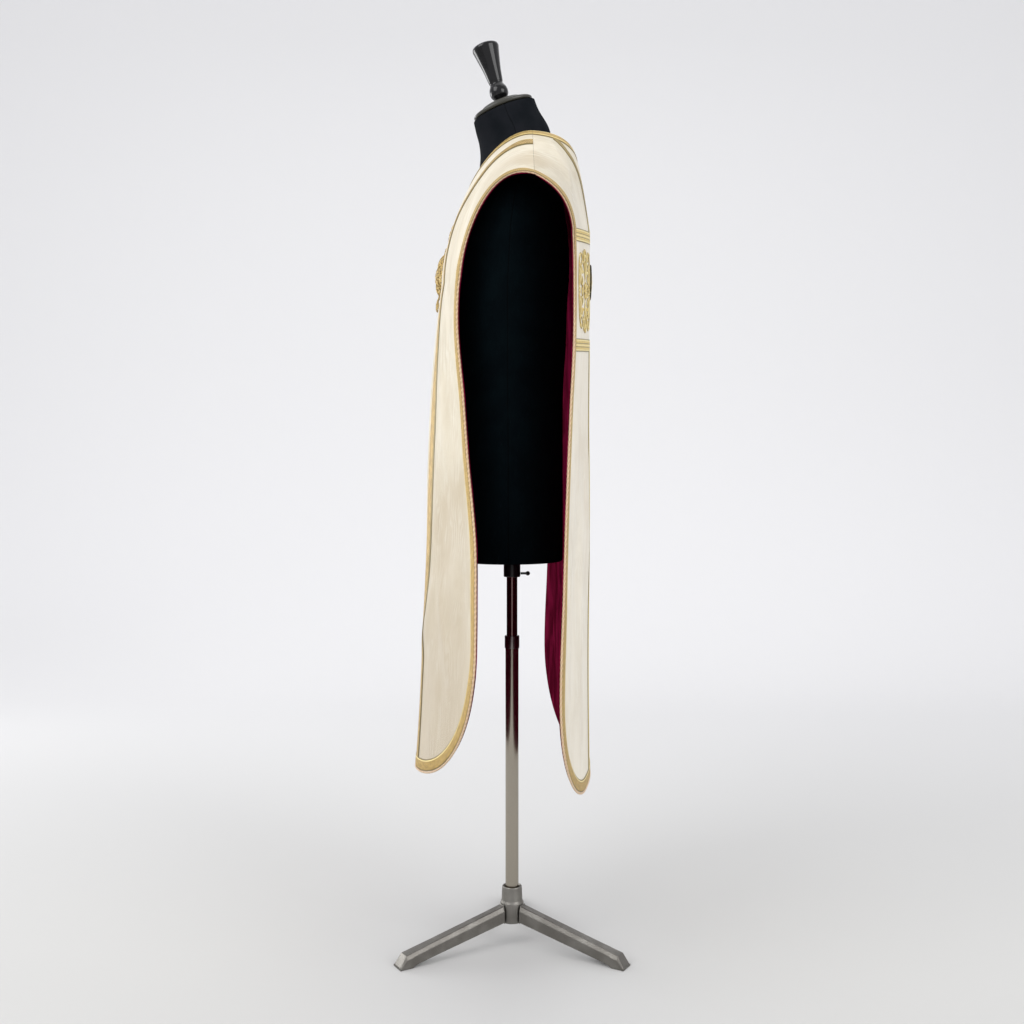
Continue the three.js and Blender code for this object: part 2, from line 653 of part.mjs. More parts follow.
add('stand_inner_tube', turned([
  [0, INNER_TUBE.low], [INNER_TUBE.radius, INNER_TUBE.low], [INNER_TUBE.radius, INNER_TUBE.high], [0, INNER_TUBE.high],
], 28), metal(0x9a9a9c, 0.2));
// A tube as a ring section turned about the axis, its outer edges eased.
const tube = ({ radius, bore, low, high }, ease) => turned([
  [bore, low], [radius - ease, low], [radius, low + ease], [radius, high - ease], [radius - ease, high],
  [bore, high], [bore, low],
], 28);
add('stand_outer_tube', tube(OUTER_TUBE, 0.3), metal(0xb4b4b4, 0.3));
add('stand_ferrule', tube(FERRULE, 1), metal(0x8a8684, 0.3));
add('form_socket', tube(SOCKET, 2), BLACK_LACQUER());

const screwProfile = [[0, SCREW.from], [SCREW.shaft, SCREW.from]];
for (let degrees = -58; degrees <= 90; degrees += 18.5) {
  const angle = THREE.MathUtils.degToRad(degrees);
  const radius = degrees === 90 ? 0 : SCREW.ball * Math.cos(angle);
  screwProfile.push([radius, SCREW.middle + SCREW.ball * Math.sin(angle)]);
}
const screw = add('socket_thumb_screw', turned(screwProfile, 12), BLACK_LACQUER());
screw.rotation.x = -Math.PI / 2;
screw.position.set(0, 0, SCREW.z);

// ---------- Tripod ----------
const HUB = { low: 38, high: 97, foot: 19.5, top: 16.6, mouth: 14.4, bore: 11.3, boreFloor: 88 };
add('stand_hub', turned([
  [0, HUB.low], [HUB.foot - 1.5, HUB.low], [HUB.foot, HUB.low + 1.5], [HUB.foot, 70], [17.4, 74],
  [HUB.top, HUB.high - 1.5], [HUB.top - 1, HUB.high], [HUB.mouth, HUB.high], [HUB.mouth - 1, HUB.high - 5.5],
  [HUB.bore, HUB.high - 5.5], [HUB.bore, HUB.boreFloor], [0, HUB.boreFloor],
], 32), metal(0x8b8680, 0.45));

// A leg: sections along it, away from the hub, each a ridge with a narrower top and a wider base.
const LEG = [
  { out: 20.1, top: 67, base: 40, halfTop: 7, halfBase: 10 },
  { out: 60, top: 56.5, base: 31, halfTop: 7, halfBase: 10 },
  { out: 150, top: 33, base: 11, halfTop: 8, halfBase: 11 },
  { out: 183, top: 24.5, base: 3.6, halfTop: 9, halfBase: 12 },
  { out: 188, top: 23.2, base: 0, halfTop: 9, halfBase: 12.5 },
  { out: 199, top: 20.4, base: 0, halfTop: 9.5, halfBase: 13 },
  { out: 210, top: 3, base: 0, halfTop: 11, halfBase: 13 },
];
const LEG_TURNS = [60, 180, 300];
LEG_TURNS.forEach((degrees, i) => {
  const rings = LEG.map(({ out, top, base, halfTop, halfBase }) => {
    const edge = THREE.MathUtils.lerp(base, top, 0.7);
    return [
      [-halfBase, base], [halfBase, base], [halfBase, edge], [halfTop, top], [-halfTop, top], [-halfBase, edge],
    ].map(([side, z]) => new THREE.Vector3(out, side, z));
  });
  const leg = add(`stand_leg_${i + 1}`, throughRings(rings), metal(0x8b8680, 0.45));
  leg.rotation.z = THREE.MathUtils.degToRad(degrees);
});

export default object;
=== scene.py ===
"""Fiddleback chasuble on a black dress form, a telescopic pole and a tripod stand.

Metres, +Z up, the garment's front faces -Y, and its right side (worn) is at -X.
"""

import bpy
import numpy as np
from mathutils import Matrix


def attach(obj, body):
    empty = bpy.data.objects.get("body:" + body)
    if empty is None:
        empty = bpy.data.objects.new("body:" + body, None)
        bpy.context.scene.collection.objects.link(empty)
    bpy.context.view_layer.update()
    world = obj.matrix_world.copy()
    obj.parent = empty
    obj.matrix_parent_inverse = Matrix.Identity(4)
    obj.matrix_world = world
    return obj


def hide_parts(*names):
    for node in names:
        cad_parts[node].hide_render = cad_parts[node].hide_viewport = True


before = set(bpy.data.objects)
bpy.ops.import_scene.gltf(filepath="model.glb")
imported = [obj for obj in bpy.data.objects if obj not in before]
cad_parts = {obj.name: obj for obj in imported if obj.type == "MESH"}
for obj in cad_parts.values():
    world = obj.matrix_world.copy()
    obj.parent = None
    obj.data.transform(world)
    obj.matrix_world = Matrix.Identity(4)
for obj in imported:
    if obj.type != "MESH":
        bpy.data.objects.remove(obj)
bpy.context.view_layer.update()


# ---------- The silk ----------
# The chasuble's face cloth: ivory watered silk, one panel in front and one behind, cut to the
# fiddleback outline and joined by a seam on top of each shoulder. It hangs over the dress form,
# touching it on the shoulders only.
SEAM_Y = 0.033
SEAM_GAP = 0.0003
SEAM_NECK_HEIGHT = 1.338
SEAM_STEEP, SEAM_EASE, SEAM_KNEE = 0.927, 1.1, 0.020
NECK_HALF = 0.075
SHOULDER_HALF = 0.255
SHOULDER_RUN = 0.25
SILK = (-0.0006, 0.0006)
SMALL_STEP = 0.0008
SEAM_BLEND = 0.006
MESH_DOWN, MESH_ACROSS = ((250, 46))


def smooth(value, low, high):
    """0 below low, 1 above high and 3 s^2 - 2 s^3 between."""
    share = np.clip((value - low) / (high - low), 0, 1)
    return share * share * (3 - 2 * share)


def unit(vectors):
    """Vectors divided by their own length."""
    return vectors / np.linalg.norm(vectors, axis=-1, keepdims=True)


def curve_through(knots, values):
    """A curve through (knots, values): cubic pieces whose slope at a knot is its neighbours'."""
    knots, values = np.array(knots), np.array(values)
    steps = np.diff(values) / np.diff(knots)
    slopes = np.zeros(len(knots))
    slopes[1:-1] = (values[2:] - values[:-2]) / (knots[2:] - knots[:-2])
    slopes[0] = 1.5 * steps[0] - 0.5 * slopes[1]
    slopes[-1] = 1.5 * steps[-1] - 0.5 * slopes[-2]

    def evaluate(at):
        at = np.clip(at, knots[0], knots[-1])
        i = np.clip(np.searchsorted(knots, at) - 1, 0, len(knots) - 2)
        width = knots[i + 1] - knots[i]
        s = (at - knots[i]) / width
        return (values[i] * (1 + 2 * s) * (1 - s) ** 2 + values[i + 1] * s * s * (3 - 2 * s)
                + width * s * (1 - s) * (slopes[i] * (1 - s) - slopes[i + 1] * s))

    return evaluate


class Panel:
    """A hanging panel as a surface of x, the place across, and q, the distance down from the seam.

    Down to q = SHOULDER_RUN it is a cubic curve from the shoulder seam to the chest line; below,
    the height is the chest line's less (q - SHOULDER_RUN), and in plan the cloth is flat at the
    centre with wings: y = centre + wing * (twist * sign(x) - out * spread), where wing is the
    power mean sum of |x| and flat, less flat. The folds lift it along its outward normal.
    """

    def __init__(self, out, slant, leave, arrive, lean, neck, arm_power, chest, corner,
                 hem, sections, folds):
        self.out, self.slant, self.lean = out, slant, lean
        self.leave, self.arrive = leave, arrive
        self.neck_at, self.neck_half, self.neck_lift = neck
        self.arm_power, self.chest, self.corner, self.hem = arm_power, chest, corner, hem
        heights, *columns = np.array(sections).T
        self.centre, self.flat, self.power, self.spread, self.twist, self.half = (
            curve_through(heights, column) for column in columns)
        self.folds = np.array(folds) / 1000

    def chest_height(self, x):
        """The chest line falls evenly to the sides."""
        return self.chest[0] - self.chest[1] * np.abs(x)

    def q_at(self, x, z):
        """The distance down from the seam of a height below the chest line."""
        return SHOULDER_RUN + self.chest_height(x) - z

    def hang(self, x, z):
        """Place front to back of the hanging cloth."""
        flat, power = self.flat(z), self.power(z)
        wing = (np.abs(x) ** power + flat ** power) ** (1 / power) - flat
        return self.centre(z) + wing * (self.twist(z) * np.sign(x) - self.out * self.spread(z))

    def plain(self, x, q):
        """The cloth without its folds, for arrays of x and q."""
        x, q = np.broadcast_arrays(np.asarray(x, float), np.asarray(q, float))
        across = np.abs(x)
        chest = self.chest_height(x)
        z = chest - (q - SHOULDER_RUN)
        hanging = np.stack([x, self.hang(x, z), z], -1)

        def ramp(distance):
            """0 well before the knee and the distance itself well past it: (d + hypot(d, knee)) / 2."""
            return (distance + np.hypot(distance, SEAM_KNEE)) / 2

        drop = SEAM_STEEP * ramp(across - NECK_HALF) - SEAM_EASE * ramp(across - NECK_HALF) ** 2
        level = SEAM_STEEP * ramp(0) - SEAM_EASE * ramp(0) ** 2
        top_y = SEAM_Y + self.out * SEAM_GAP / 2
        top_z = SEAM_NECK_HEIGHT + level - drop
        end_y = self.hang(x, chest)
        run = (end_y - top_y) * (self.leave[0] + self.leave[1] * across)
        slant = np.radians(self.slant[0] + self.slant[1] * across)
        leave_y, leave_z = top_y + run, top_z - np.abs(run) * np.tan(slant)
        rise = (top_z - chest) * (self.arrive[0] + self.arrive[1] * across)
        t = q / SHOULDER_RUN
        a, b, c, d = (1 - t) ** 3, 3 * t * (1 - t) ** 2, 3 * t * t * (1 - t), t ** 3
        y = a * top_y + b * leave_y + c * (end_y - self.out * self.lean * rise) + d * end_y
        height = a * top_z + b * leave_z + c * (chest + rise) + d * chest
        shoulder = np.stack([x, y, height], -1)
        return np.where((q < SHOULDER_RUN)[..., None], shoulder, hanging)

    def outward(self, surface, x, q):
        """Unit normal of a surface of x and q; in the shoulder seam it lies in the seam's plane."""
        across = surface(x + SMALL_STEP, q) - surface(x - SMALL_STEP, q)
        down = surface(x, q + SMALL_STEP) - surface(x, q - SMALL_STEP)
        normal = unit(np.cross(down, across) * -self.out)
        normal[..., 1] *= smooth(q, 0, SEAM_BLEND)
        return unit(normal)

    def fold(self, x, q):
        """Height of the folds: soft ridges and troughs along straight lines, fading at the ends."""
        height = np.zeros(np.broadcast(x, q).shape)
        for x0, q0, x1, q1, width, lift in self.folds:
            run = np.hypot(x1 - x0, q1 - q0)
            ux, uq = (x1 - x0) / run, (q1 - q0) / run
            along = ((x - x0) * ux + (q - q0) * uq) / run
            bend = 0.25 * width * np.sin(along * 5 + x0 * 40)
            aside = ((x - x0) * uq - (q - q0) * ux - bend) / (width * (0.8 + 0.5 * along))
            fade = smooth(along, 0, 0.35) * (1 - smooth(along, 0.6, 1))
            height = height + lift * fade * np.exp(-aside * aside)
        return height

    def cloth(self, x, q):
        """The middle of the silk with its folds."""
        plain = self.plain(x, q)
        return plain + self.outward(self.plain, x, q) * self.fold(x, q)[..., None]

    def place(self, x, q, lift):
        """Places on the cloth, lifted off the middle of the silk along its outward normal."""
        lift = np.broadcast_to(lift, np.broadcast(x, q).shape)
        return self.cloth(x, q) + self.outward(self.cloth, x, q) * lift[..., None]

    def step_aside(self, x, q, distance, turns=4):
        """Places a distance along the cloth to the left of a path of (x, q), seen from outside."""
        along = np.gradient(self.cloth(x, q), axis=0)
        for _ in range(turns):
            aside = unit(np.cross(self.outward(self.cloth, x, q), along)) * distance / turns
            by_x = (self.cloth(x + SMALL_STEP, q) - self.cloth(x - SMALL_STEP, q)) / (2 * SMALL_STEP)
            by_q = (self.cloth(x, q + SMALL_STEP) - self.cloth(x, q - SMALL_STEP)) / (2 * SMALL_STEP)
            xx, xq, qq = (np.sum(a * b, -1) for a, b in ((by_x, by_x), (by_x, by_q), (by_q, by_q)))
            fx, fq = np.sum(by_x * aside, -1), np.sum(by_q * aside, -1)
            whole = xx * qq - xq * xq
            x = x + (fx * qq - fq * xq) / whole
            q = q + (fq * xx - fx * xq) / whole
        return x, q

    def evenly(self, x, q, count):
        """The same path with its points evenly spaced along the cloth."""
        places = self.plain(x, q)
        length = np.r_[0, np.cumsum(np.linalg.norm(np.diff(places, axis=0), axis=1))]
        at = np.linspace(0, length[-1], count)
        return np.interp(at, length, x), np.interp(at, length, q)

    def edge(self, count):
        """The outer edge of the +X half, from the shoulder seam to where the hem becomes flat."""
        share = np.linspace(0, 1, 80)
        chest_half = self.half(self.chest_height(SHOULDER_HALF))
        arm_x = SHOULDER_HALF + (chest_half - SHOULDER_HALF) * share ** self.arm_power
        centre, width, height = self.corner
        z = np.linspace(self.chest_height(chest_half), self.hem + height, 200)[1:]
        angle = np.linspace(0, np.pi / 2, 160)[1:]
        turn_x = centre + width * np.cos(angle)
        turn_z = self.hem + height * (1 - np.sin(angle))
        x = np.r_[arm_x, self.half(z), turn_x]
        q = np.r_[share * SHOULDER_RUN, self.q_at(self.half(z), z), self.q_at(turn_x, turn_z)]
        return self.evenly(x, q, count)

    def neck(self, rounding=0.009):
        """The neck edge of the +X half, from the shoulder seam round a corner to the centre."""
        corner_q = (self.neck_at - self.neck_lift) * SHOULDER_RUN
        q = np.linspace(0, corner_q - rounding, 40)
        deep = self.neck_at * SHOULDER_RUN
        x = NECK_HALF + (self.neck_half - NECK_HALF) * (q / deep) ** 3
        t = np.linspace(0, 1, 14)[1:-1]
        low_x = np.linspace(self.neck_half - rounding, 0, 30)
        low_q = deep - self.neck_lift * SHOULDER_RUN * (low_x / self.neck_half) ** 2
        turn_x = (1 - t) ** 2 * x[-1] + 2 * t * (1 - t) * self.neck_half + t * t * low_x[0]
        turn_q = (1 - t) ** 2 * q[-1] + 2 * t * (1 - t) * corner_q + t * t * low_q[0]
        return np.r_[x, turn_x, low_x], np.r_[q, turn_q, low_q]


# Sections: height, place of the centre front to back, flat, power, spread, twist, half width.
# Folds, in millimetres: from (x, q) to (x, q), width, height (a trough's is negative).
FRONT = Panel(
    out=-1, slant=(3, -60), leave=(0.42, 1.04), arrive=(0.41, 0.12), lean=0,
    neck=(0.48, 0.047, 0.025), arm_power=1.02, chest=(1.100, 0.1),
    corner=(0.075, 0.212, 0.206), hem=0.312,
    sections=[
        (0.312, -0.1572, 0.068, 6, 0.333, 0.104, 0.287),
        (0.400, -0.1522, 0.068, 6, 0.333, 0.104, 0.287),
        (0.527, -0.1472, 0.068, 6, 0.327, 0.104, 0.287),
        (0.591, -0.1447, 0.067, 6, 0.326, 0.104, 0.282),
        (0.684, -0.1417, 0.066, 6, 0.343, 0.106, 0.261),
        (0.804, -0.1382, 0.064, 6, 0.338, 0.110, 0.225),
        (0.904, -0.1342, 0.064, 5, 0.338, 0.104, 0.199),
        (1.013, -0.1262, 0.070, 3.4, 0.301, 0.061, 0.187),
        (1.100, -0.1170, 0.090, 2, 0.333, 0.016, 0.190),
    ],
    folds=[
        (105, 330, 165, 640, 18, 4.1), (172, 380, 120, 800, 26, -3.5),
        (125, 690, 70, 860, 14, 5.1), (128, 690, 205, 900, 18, 4.8), (40, 560, 45, 1020, 24, -3),
        (215, 640, 262, 860, 20, -4.1), (150, 820, 120, 1040, 20, 3),
        (-95, 360, -150, 760, 22, 4.1), (-60, 620, -100, 1010, 18, 3.5),
        (-190, 520, -235, 900, 26, -4.3), (-140, 780, -200, 1000, 16, 3.2),
        (130, 110, 185, 300, 12, 2.2), (-120, 90, -190, 320, 14, 2.4),
    ])
BACK = Panel(
    out=1, slant=(-5, 111), leave=(0.87, -0.9), arrive=(0.85, -1.36), lean=0.145,
    neck=(0.425, 0.055, 0.06), arm_power=0.82, chest=(1.190, 0.21),
    corner=(0.150, 0.185, 0.158), hem=0.298,
    sections=[
        (0.300, 0.1280, 0.200, 2, 0.309, 0.000, 0.335),
        (0.475, 0.1268, 0.200, 2, 0.314, 0.000, 0.335),
        (0.604, 0.1273, 0.200, 2, 0.306, 0.000, 0.325),
        (0.744, 0.1283, 0.200, 2, 0.304, 0.000, 0.310),
        (0.870, 0.1268, 0.200, 2, 0.277, 0.000, 0.299),
        (0.968, 0.1273, 0.200, 2, 0.260, 0.000, 0.290),
        (1.076, 0.1282, 0.200, 2, 0.271, 0.000, 0.282),
        (1.130, 0.1286, 0.200, 2, 0.292, 0.000, 0.275),
        (1.190, 0.1279, 0.200, 2, 0.296, 0.000, 0.274),
    ],
    folds=[
        (98, 20, 185, 120, 10, 2.4), (112, 70, 225, 165, 13, 2.7), (145, 500, 120, 860, 24, 4.1),
        (215, 480, 250, 930, 28, -3.8), (180, 640, 215, 1060, 18, 3.5),
        (285, 700, 300, 1000, 18, 3.8), (40, 620, 50, 1080, 22, -2.7), (262, 500, 180, 720, 16, 3),
        (-110, 30, -200, 140, 12, 2.4), (-150, 520, -180, 960, 26, 4.1),
        (-240, 450, -225, 820, 24, -4.1), (-280, 660, -300, 1020, 20, 3.5),
        (-50, 560, -90, 900, 20, -3),
    ])
PANELS = {"front": FRONT, "back": BACK}


def body(name, points, faces, uv=None):
    """An object of points and faces (arrays of corners), its faces outward and smooth."""
    loops = np.concatenate([part.ravel() for part in faces])
    sizes = np.concatenate([np.full(len(part), part.shape[1]) for part in faces])
    middle = points.mean(0)
    volume = 0.0
    for part in faces:
        for k in range(1, part.shape[1] - 1):
            a, b, c = (points[part[:, i]] - middle for i in (0, k, k + 1))
            volume += np.sum(np.cross(a, b) * c)
    if volume < 0:
        loops = np.concatenate([part[:, ::-1].ravel() for part in faces])
    mesh = bpy.data.meshes.new(name)
    mesh.vertices.add(len(points))
    mesh.vertices.foreach_set("co", points.astype(np.float32).ravel())
    mesh.loops.add(len(loops))
    mesh.loops.foreach_set("vertex_index", loops.astype(np.int32))
    mesh.polygons.add(len(sizes))
    mesh.polygons.foreach_set("loop_start", (np.cumsum(sizes) - sizes).astype(np.int32))
    if uv is not None:
        mesh.uv_layers.new(name="cloth").data.foreach_set("uv", uv[loops].astype(np.float32).ravel())
    mesh.update(calc_edges=True)
    mesh.shade_smooth()
    mesh.set_sharp_from_angle(angle=0.75)
    obj = bpy.data.objects.new(name, mesh)
    bpy.context.scene.collection.objects.link(obj)
    return obj


def grid_faces(index):
    """The four-cornered faces between the neighbours of a grid of point numbers."""
    corners = (index[:-1, :-1], index[:-1, 1:], index[1:, 1:], index[1:, :-1])
    return np.stack([c.ravel() for c in corners], 1)


def whole_turn(count):
    """Evenly spaced angles all the way round."""
    return np.arange(count) * 2 * np.pi / count


def pairs(along, across):
    """One pair of numbers for every point of a grid, from those of its rows and its columns."""
    return np.stack(np.broadcast_arrays(along, across), -1).reshape(-1, 2)


def walls(faces, count):
    """Both walls and the rim of a sheet whose second wall is the first one's points plus count."""
    first = np.concatenate([faces[:, k] for k in range(4)])
    second = np.concatenate([faces[:, (k + 1) % 4] for k in range(4)])
    size = 2 * count
    border = ~np.isin(first * size + second, second * size + first)
    p, q = first[border], second[border]
    return [np.concatenate([faces, faces[:, ::-1] + count, np.stack([q, p, p + count, q + count], 1)])]


def sheet(name, panel, low, high, beyond=0.0):
    """A whole panel between two layers: each half runs from the neck edge and centre to the edge.

    It can go a little beyond the silk's edge, less and less towards the shoulder seam and the hem.
    """
    neck_x, neck_q = panel.neck()
    hem_q = panel.q_at(0, panel.hem)
    line_q = np.linspace(neck_q[-1], hem_q, 60)[1:]
    inner_x, inner_q = np.r_[neck_x, line_q * 0], np.r_[neck_q, line_q]
    length = np.linalg.norm(np.diff(panel.plain(inner_x, inner_q), axis=0), axis=1)
    open_share = length[:len(neck_x) - 1].sum() / length.sum()
    opening = round(open_share * (MESH_DOWN - 1)) + 1
    beside = panel.evenly(neck_x, neck_q, opening)
    below = panel.evenly(np.r_[0, line_q * 0], np.r_[neck_q[-1], line_q], MESH_DOWN - opening + 1)
    inner_x, inner_q = (np.r_[a, b[1:]] for a, b in zip(beside, below))
    outer_x, outer_q = panel.edge(MESH_DOWN)
    if beyond:
        share = np.linspace(0, 1, MESH_DOWN)[:, None]
        beyond = beyond * smooth(share, 0, 0.02) * (1 - smooth(share, 0.7, 0.95))
        outer_x, outer_q = panel.step_aside(outer_x, outer_q, -panel.out * beyond)
    share = np.linspace(0, 1, MESH_ACROSS)
    x = inner_x[:, None] * (1 - share) + outer_x[:, None] * share
    q = inner_q[:, None] * (1 - share) + outer_q[:, None] * share
    index = np.arange(x.size).reshape(x.shape)
    other = index + x.size
    other[opening - 1:, 0] = index[opening - 1:, 0]
    faces = np.concatenate([grid_faces(index), grid_faces(other)[:, ::-1]])
    all_x, all_q = np.r_[x.ravel(), -x.ravel()], np.r_[q.ravel(), q.ravel()]
    used, faces = np.unique(faces, return_inverse=True)
    faces = faces.reshape(-1, 4)
    all_x, all_q = all_x[used], all_q[used]
    points = np.concatenate([panel.place(all_x, all_q, high), panel.place(all_x, all_q, low)])
    uv = np.tile(np.stack([all_x, all_q], 1), (2, 1))
    return body(name, points, walls(faces, len(all_x)), uv)


class Socket:
    """A number, colour or vector in a material; a sum written with it becomes the nodes for it."""

    def __init__(self, tree, socket):
        self.tree, self.socket = tree, socket

    def node(self, kind, settings, inputs, output=0):
        """One node of any kind: its settings first, then what its inputs are given."""
        made = self.tree.nodes.new(kind)
        for name, value in settings.items():
            setattr(made, name, value)
        for name, value in inputs.items():
            if isinstance(value, Socket):
                self.tree.links.new(value.socket, made.inputs[name])
            else:
                made.inputs[name].default_value = value
        return Socket(self.tree, made.outputs[output])

    def maths(self, operation, *values):
        """One operation of arithmetic on these values."""
        return self.node("ShaderNodeMath", {"operation": operation}, dict(enumerate(values)))

    def __add__(self, other):
        return self.maths("ADD", self, other)

    def __radd__(self, other):
        return self.maths("ADD", other, self)

    def __sub__(self, other):
        return self.maths("SUBTRACT", self, other)

    def __rsub__(self, other):
        return self.maths("SUBTRACT", other, self)

    def __mul__(self, other):
        return self.maths("MULTIPLY", self, other)

    def __rmul__(self, other):
        return self.maths("MULTIPLY", other, self)

    def sine(self):
        return self.maths("SINE", self)

    def size(self):
        return self.maths("ABSOLUTE", self)

    def between(self, low, high):
        """0 at low or less, 1 at high or more, smooth between."""
        return self.node("ShaderNodeMapRange", {"interpolation_type": "SMOOTHSTEP"},
                         {"Value": self, "From Min": low, "From Max": high})

    def part(self, axis):
        """One of a vector's three numbers."""
        return self.node("ShaderNodeSeparateXYZ", {}, {"Vector": self}, axis)

    def stretched(self, x, y, z=1.0):
        """A vector with each of its numbers multiplied."""
        return self.node("ShaderNodeVectorMath", {"operation": "MULTIPLY"}, {0: self, 1: (x, y, z)})

    def noise(self, scale, detail=2.0, roughness=0.5, distortion=0.0):
        """Soft noise, mostly from 0.3 to 0.7, with so many lumps to the metre."""
        return self.node("ShaderNodeTexNoise", {}, {
            "Vector": self, "Scale": scale, "Detail": detail, "Roughness": roughness,
            "Distortion": distortion}, "Fac")

    def mixed(self, first, second):
        """The colour that lies this far from the first towards the second."""
        def full(colour):
            return colour if isinstance(colour, Socket) else (*colour, 1.0)

        return self.node("ShaderNodeMix", {"data_type": "RGBA"},
                         {0: self, 6: full(first), 7: full(second)}, 2)


class Paint:
    """A material: constants go on its shader's own sockets, and sums start from uv or place."""

    def __init__(self, name, **constants):
        self.material = bpy.data.materials.new(name)
        self.material.use_nodes = True
        tree = self.material.node_tree
        self.shader = tree.nodes["Principled BSDF"]
        start = Socket(tree, None)
        self.uv = start.node("ShaderNodeUVMap", {"uv_map": "cloth"}, {})
        self.place = start.node("ShaderNodeTexCoord", {}, {}, "Object")
        for name, value in constants.items():
            self.set(name.replace("_", " ").title().replace("Ior", "IOR"), value)

    def lumps(self, across, down, **settings):
        """Soft noise on the cloth, with so many lumps to the metre across it and down it."""
        return self.uv.stretched(across, down).noise(1, **settings)

    def set(self, name, value):
        """Give one of the shader's sockets a constant, or link a sum to it."""
        if isinstance(value, Socket):
            value.tree.links.new(value.socket, self.shader.inputs[name])
        elif isinstance(value, tuple):
            self.shader.inputs[name].default_value = (*value, 1.0)
        else:
            self.shader.inputs[name].default_value = value

    def bump(self, height, distance):
        """Relief: a height from 0 to 1 over a distance in metres."""
        self.set("Normal", height.node("ShaderNodeBump", {}, {"Height": height, "Distance": distance}))

    def on(self, obj):
        """Paint an object."""
        obj.data.materials.append(self.material)


silk = Paint("ivory watered silk", roughness=0.5, sheen_weight=0.2, sheen_roughness=0.4)
drift = silk.lumps(26, 7, detail=3, distortion=0.6)
water = ((silk.uv.part("X") * 620 + drift * 44).sine() * 0.5 + 0.5).between(0.15, 0.95)
water = water * silk.lumps(34, 15, detail=3).between(0.40, 0.68)
# Painted shade: soft darker patches and warm brown streaks of shading are mixed into the silk's colour by
# the next two noises.
cloudy_shade = silk.lumps(17, 8, detail=5, roughness=0.62, distortion=0.5).between(0.36, 0.66)
shade = silk.lumps(9, 5, detail=3, distortion=0.9).between(0.50, 0.72)
rib = (silk.uv.part("Y") * 5200).sine() * 0.5 + 0.5
silk_colour = cloudy_shade.mixed((0.83, 0.755, 0.595), (0.71, 0.63, 0.47))
silk_colour = (shade * 0.6).mixed(silk_colour, (0.60, 0.49, 0.32))
silk_colour = (water * 0.55).mixed(silk_colour, (0.90, 0.845, 0.70))
# Painted shade: the front is painted darker and browner towards the hem, as shade under light from above,
# not wear.
worn = silk.place.part("Z").between(0.95, 0.42) * silk.place.part("Y").between(0.0, -0.08)
silk_colour = (worn * 0.75).mixed(silk_colour, (0.52, 0.43, 0.30))
# Painted light: the back panel below the shoulders is painted paler, where more light falls on it.
pale = silk.place.part("Y").between(0.03, 0.10) * (1 - silk.place.part("Z").between(1.12, 1.28))
silk.set("Base Color", (pale * 0.42).mixed(silk_colour, (0.95, 0.91, 0.83)))
silk.set("Roughness", 0.56 - water * 0.16)
silk.bump(rib * 0.3 + water * 0.35 + cloudy_shade * 0.8 + silk.lumps(60, 25, detail=3), 0.0009)

sewn = {"front": [], "back": []}


def fitted(obj, paint, carrier, slot, *nodes):
    """The piece is painted, rides on a body and stands for some solids; its slot is not used."""
    paint.on(obj)
    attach(obj, carrier)
    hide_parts(*nodes)
    sewn.get(nodes[0].split("_")[0], []).append(obj)


silks = {}
for side, panel in PANELS.items():
    silks[side] = sheet(f"{side}_silk", panel, *SILK)
    fitted(silks[side], silk, "form", "ivory_silk", f"{side}_panel")


# ---------- The lining ----------
# Crimson satin of the same cut as the silk, sewn to it along every edge and a little puckered.
# It shows inside the armholes, inside the skirt and as a line behind the edge cord.
LINING = (-0.0019, -0.0009)
LINING_BEYOND = 0.0042

satin = Paint("crimson satin", specular_ior_level=0.0)
pucker_and_shade = satin.lumps(46, 13, detail=3, distortion=0.6)
slub = satin.lumps(260, 30, detail=2)
# Painted shade: the lining runs from a shaded dark crimson in the hollows of the puckers to a lit crimson
# on their crests.
satin.set("Base Color", pucker_and_shade.between(0.35, 0.7).mixed((0.080, 0.003, 0.014), (0.20, 0.008, 0.040)))
satin.set("Roughness", 0.42 + slub * 0.2)
satin.bump(pucker_and_shade + slub * 0.08, 0.004)

linings = {}
for side, panel in PANELS.items():
    linings[side] = sheet(f"{side}_satin", panel, *LINING, beyond=LINING_BEYOND)
    fitted(linings[side], satin, "form", "crimson_satin", f"{side}_lining")


# ---------- Galloon round the edges ----------
# Woven tape of gilt thread, 14 to 20 mm wide as it is eased round the curves, sewn flat along the
# whole outer edge of each panel. It has a bright selvedge on the side of the silk and small rounded
# knots in its ground.
TRIM_LOW, TRIM_HIGH = 0.0008, 0.0020
EDGE_GALLOON, HEM_GALLOON = 0.0142, 0.0175
GALLOON_WIDTH = curve_through((0.0, 0.06, 0.16, 0.28, 0.50, 0.72, 2.0),
                              (0.020, 0.020, 0.0165, EDGE_GALLOON, EDGE_GALLOON, HEM_GALLOON, HEM_GALLOON))
TAPE_STEP = 0.0035
SEW_GAP = 0.0003


def outline(panel):
    """The whole outer edge of a panel: down the +X side, along the hem and up the -X side."""
    edge_x, edge_q = panel.edge(700)
    hem_x = np.linspace(edge_x[-1], -edge_x[-1], 60)[1:-1]
    return (np.r_[edge_x, hem_x, -edge_x[::-1]],
            np.r_[edge_q, panel.q_at(hem_x, panel.hem), edge_q[::-1]])


def length_along(panel, x, q):
    """Distance along a path on the cloth, from its start to each of its points."""
    return np.r_[0, np.cumsum(np.linalg.norm(np.diff(panel.cloth(x, q), axis=0), axis=1))]


def walked(panel, path, step):
    """A path with its points a step apart along the cloth, and the distance to each of them."""
    path = panel.evenly(*path, round(length_along(panel, *path)[-1] / step))
    return path, length_along(panel, *path)


def beside(panel, x, q, distances):
    """Grids of x and q beside a path, one column for each distance, ending in the shoulder seam."""
    columns = [panel.step_aside(x, q, np.reshape(d, (-1, 1))) for d in distances]
    grid_x, grid_q = (np.stack(c, 1) for c in zip(*columns))
    along = length_along(panel, x, q)
    for end, distance in ((0, along), (-1, along[-1] - along)):
        grid_q = grid_q - grid_q[end] * (1 - smooth(distance, 0, 0.03))[:, None]
    return grid_x, grid_q


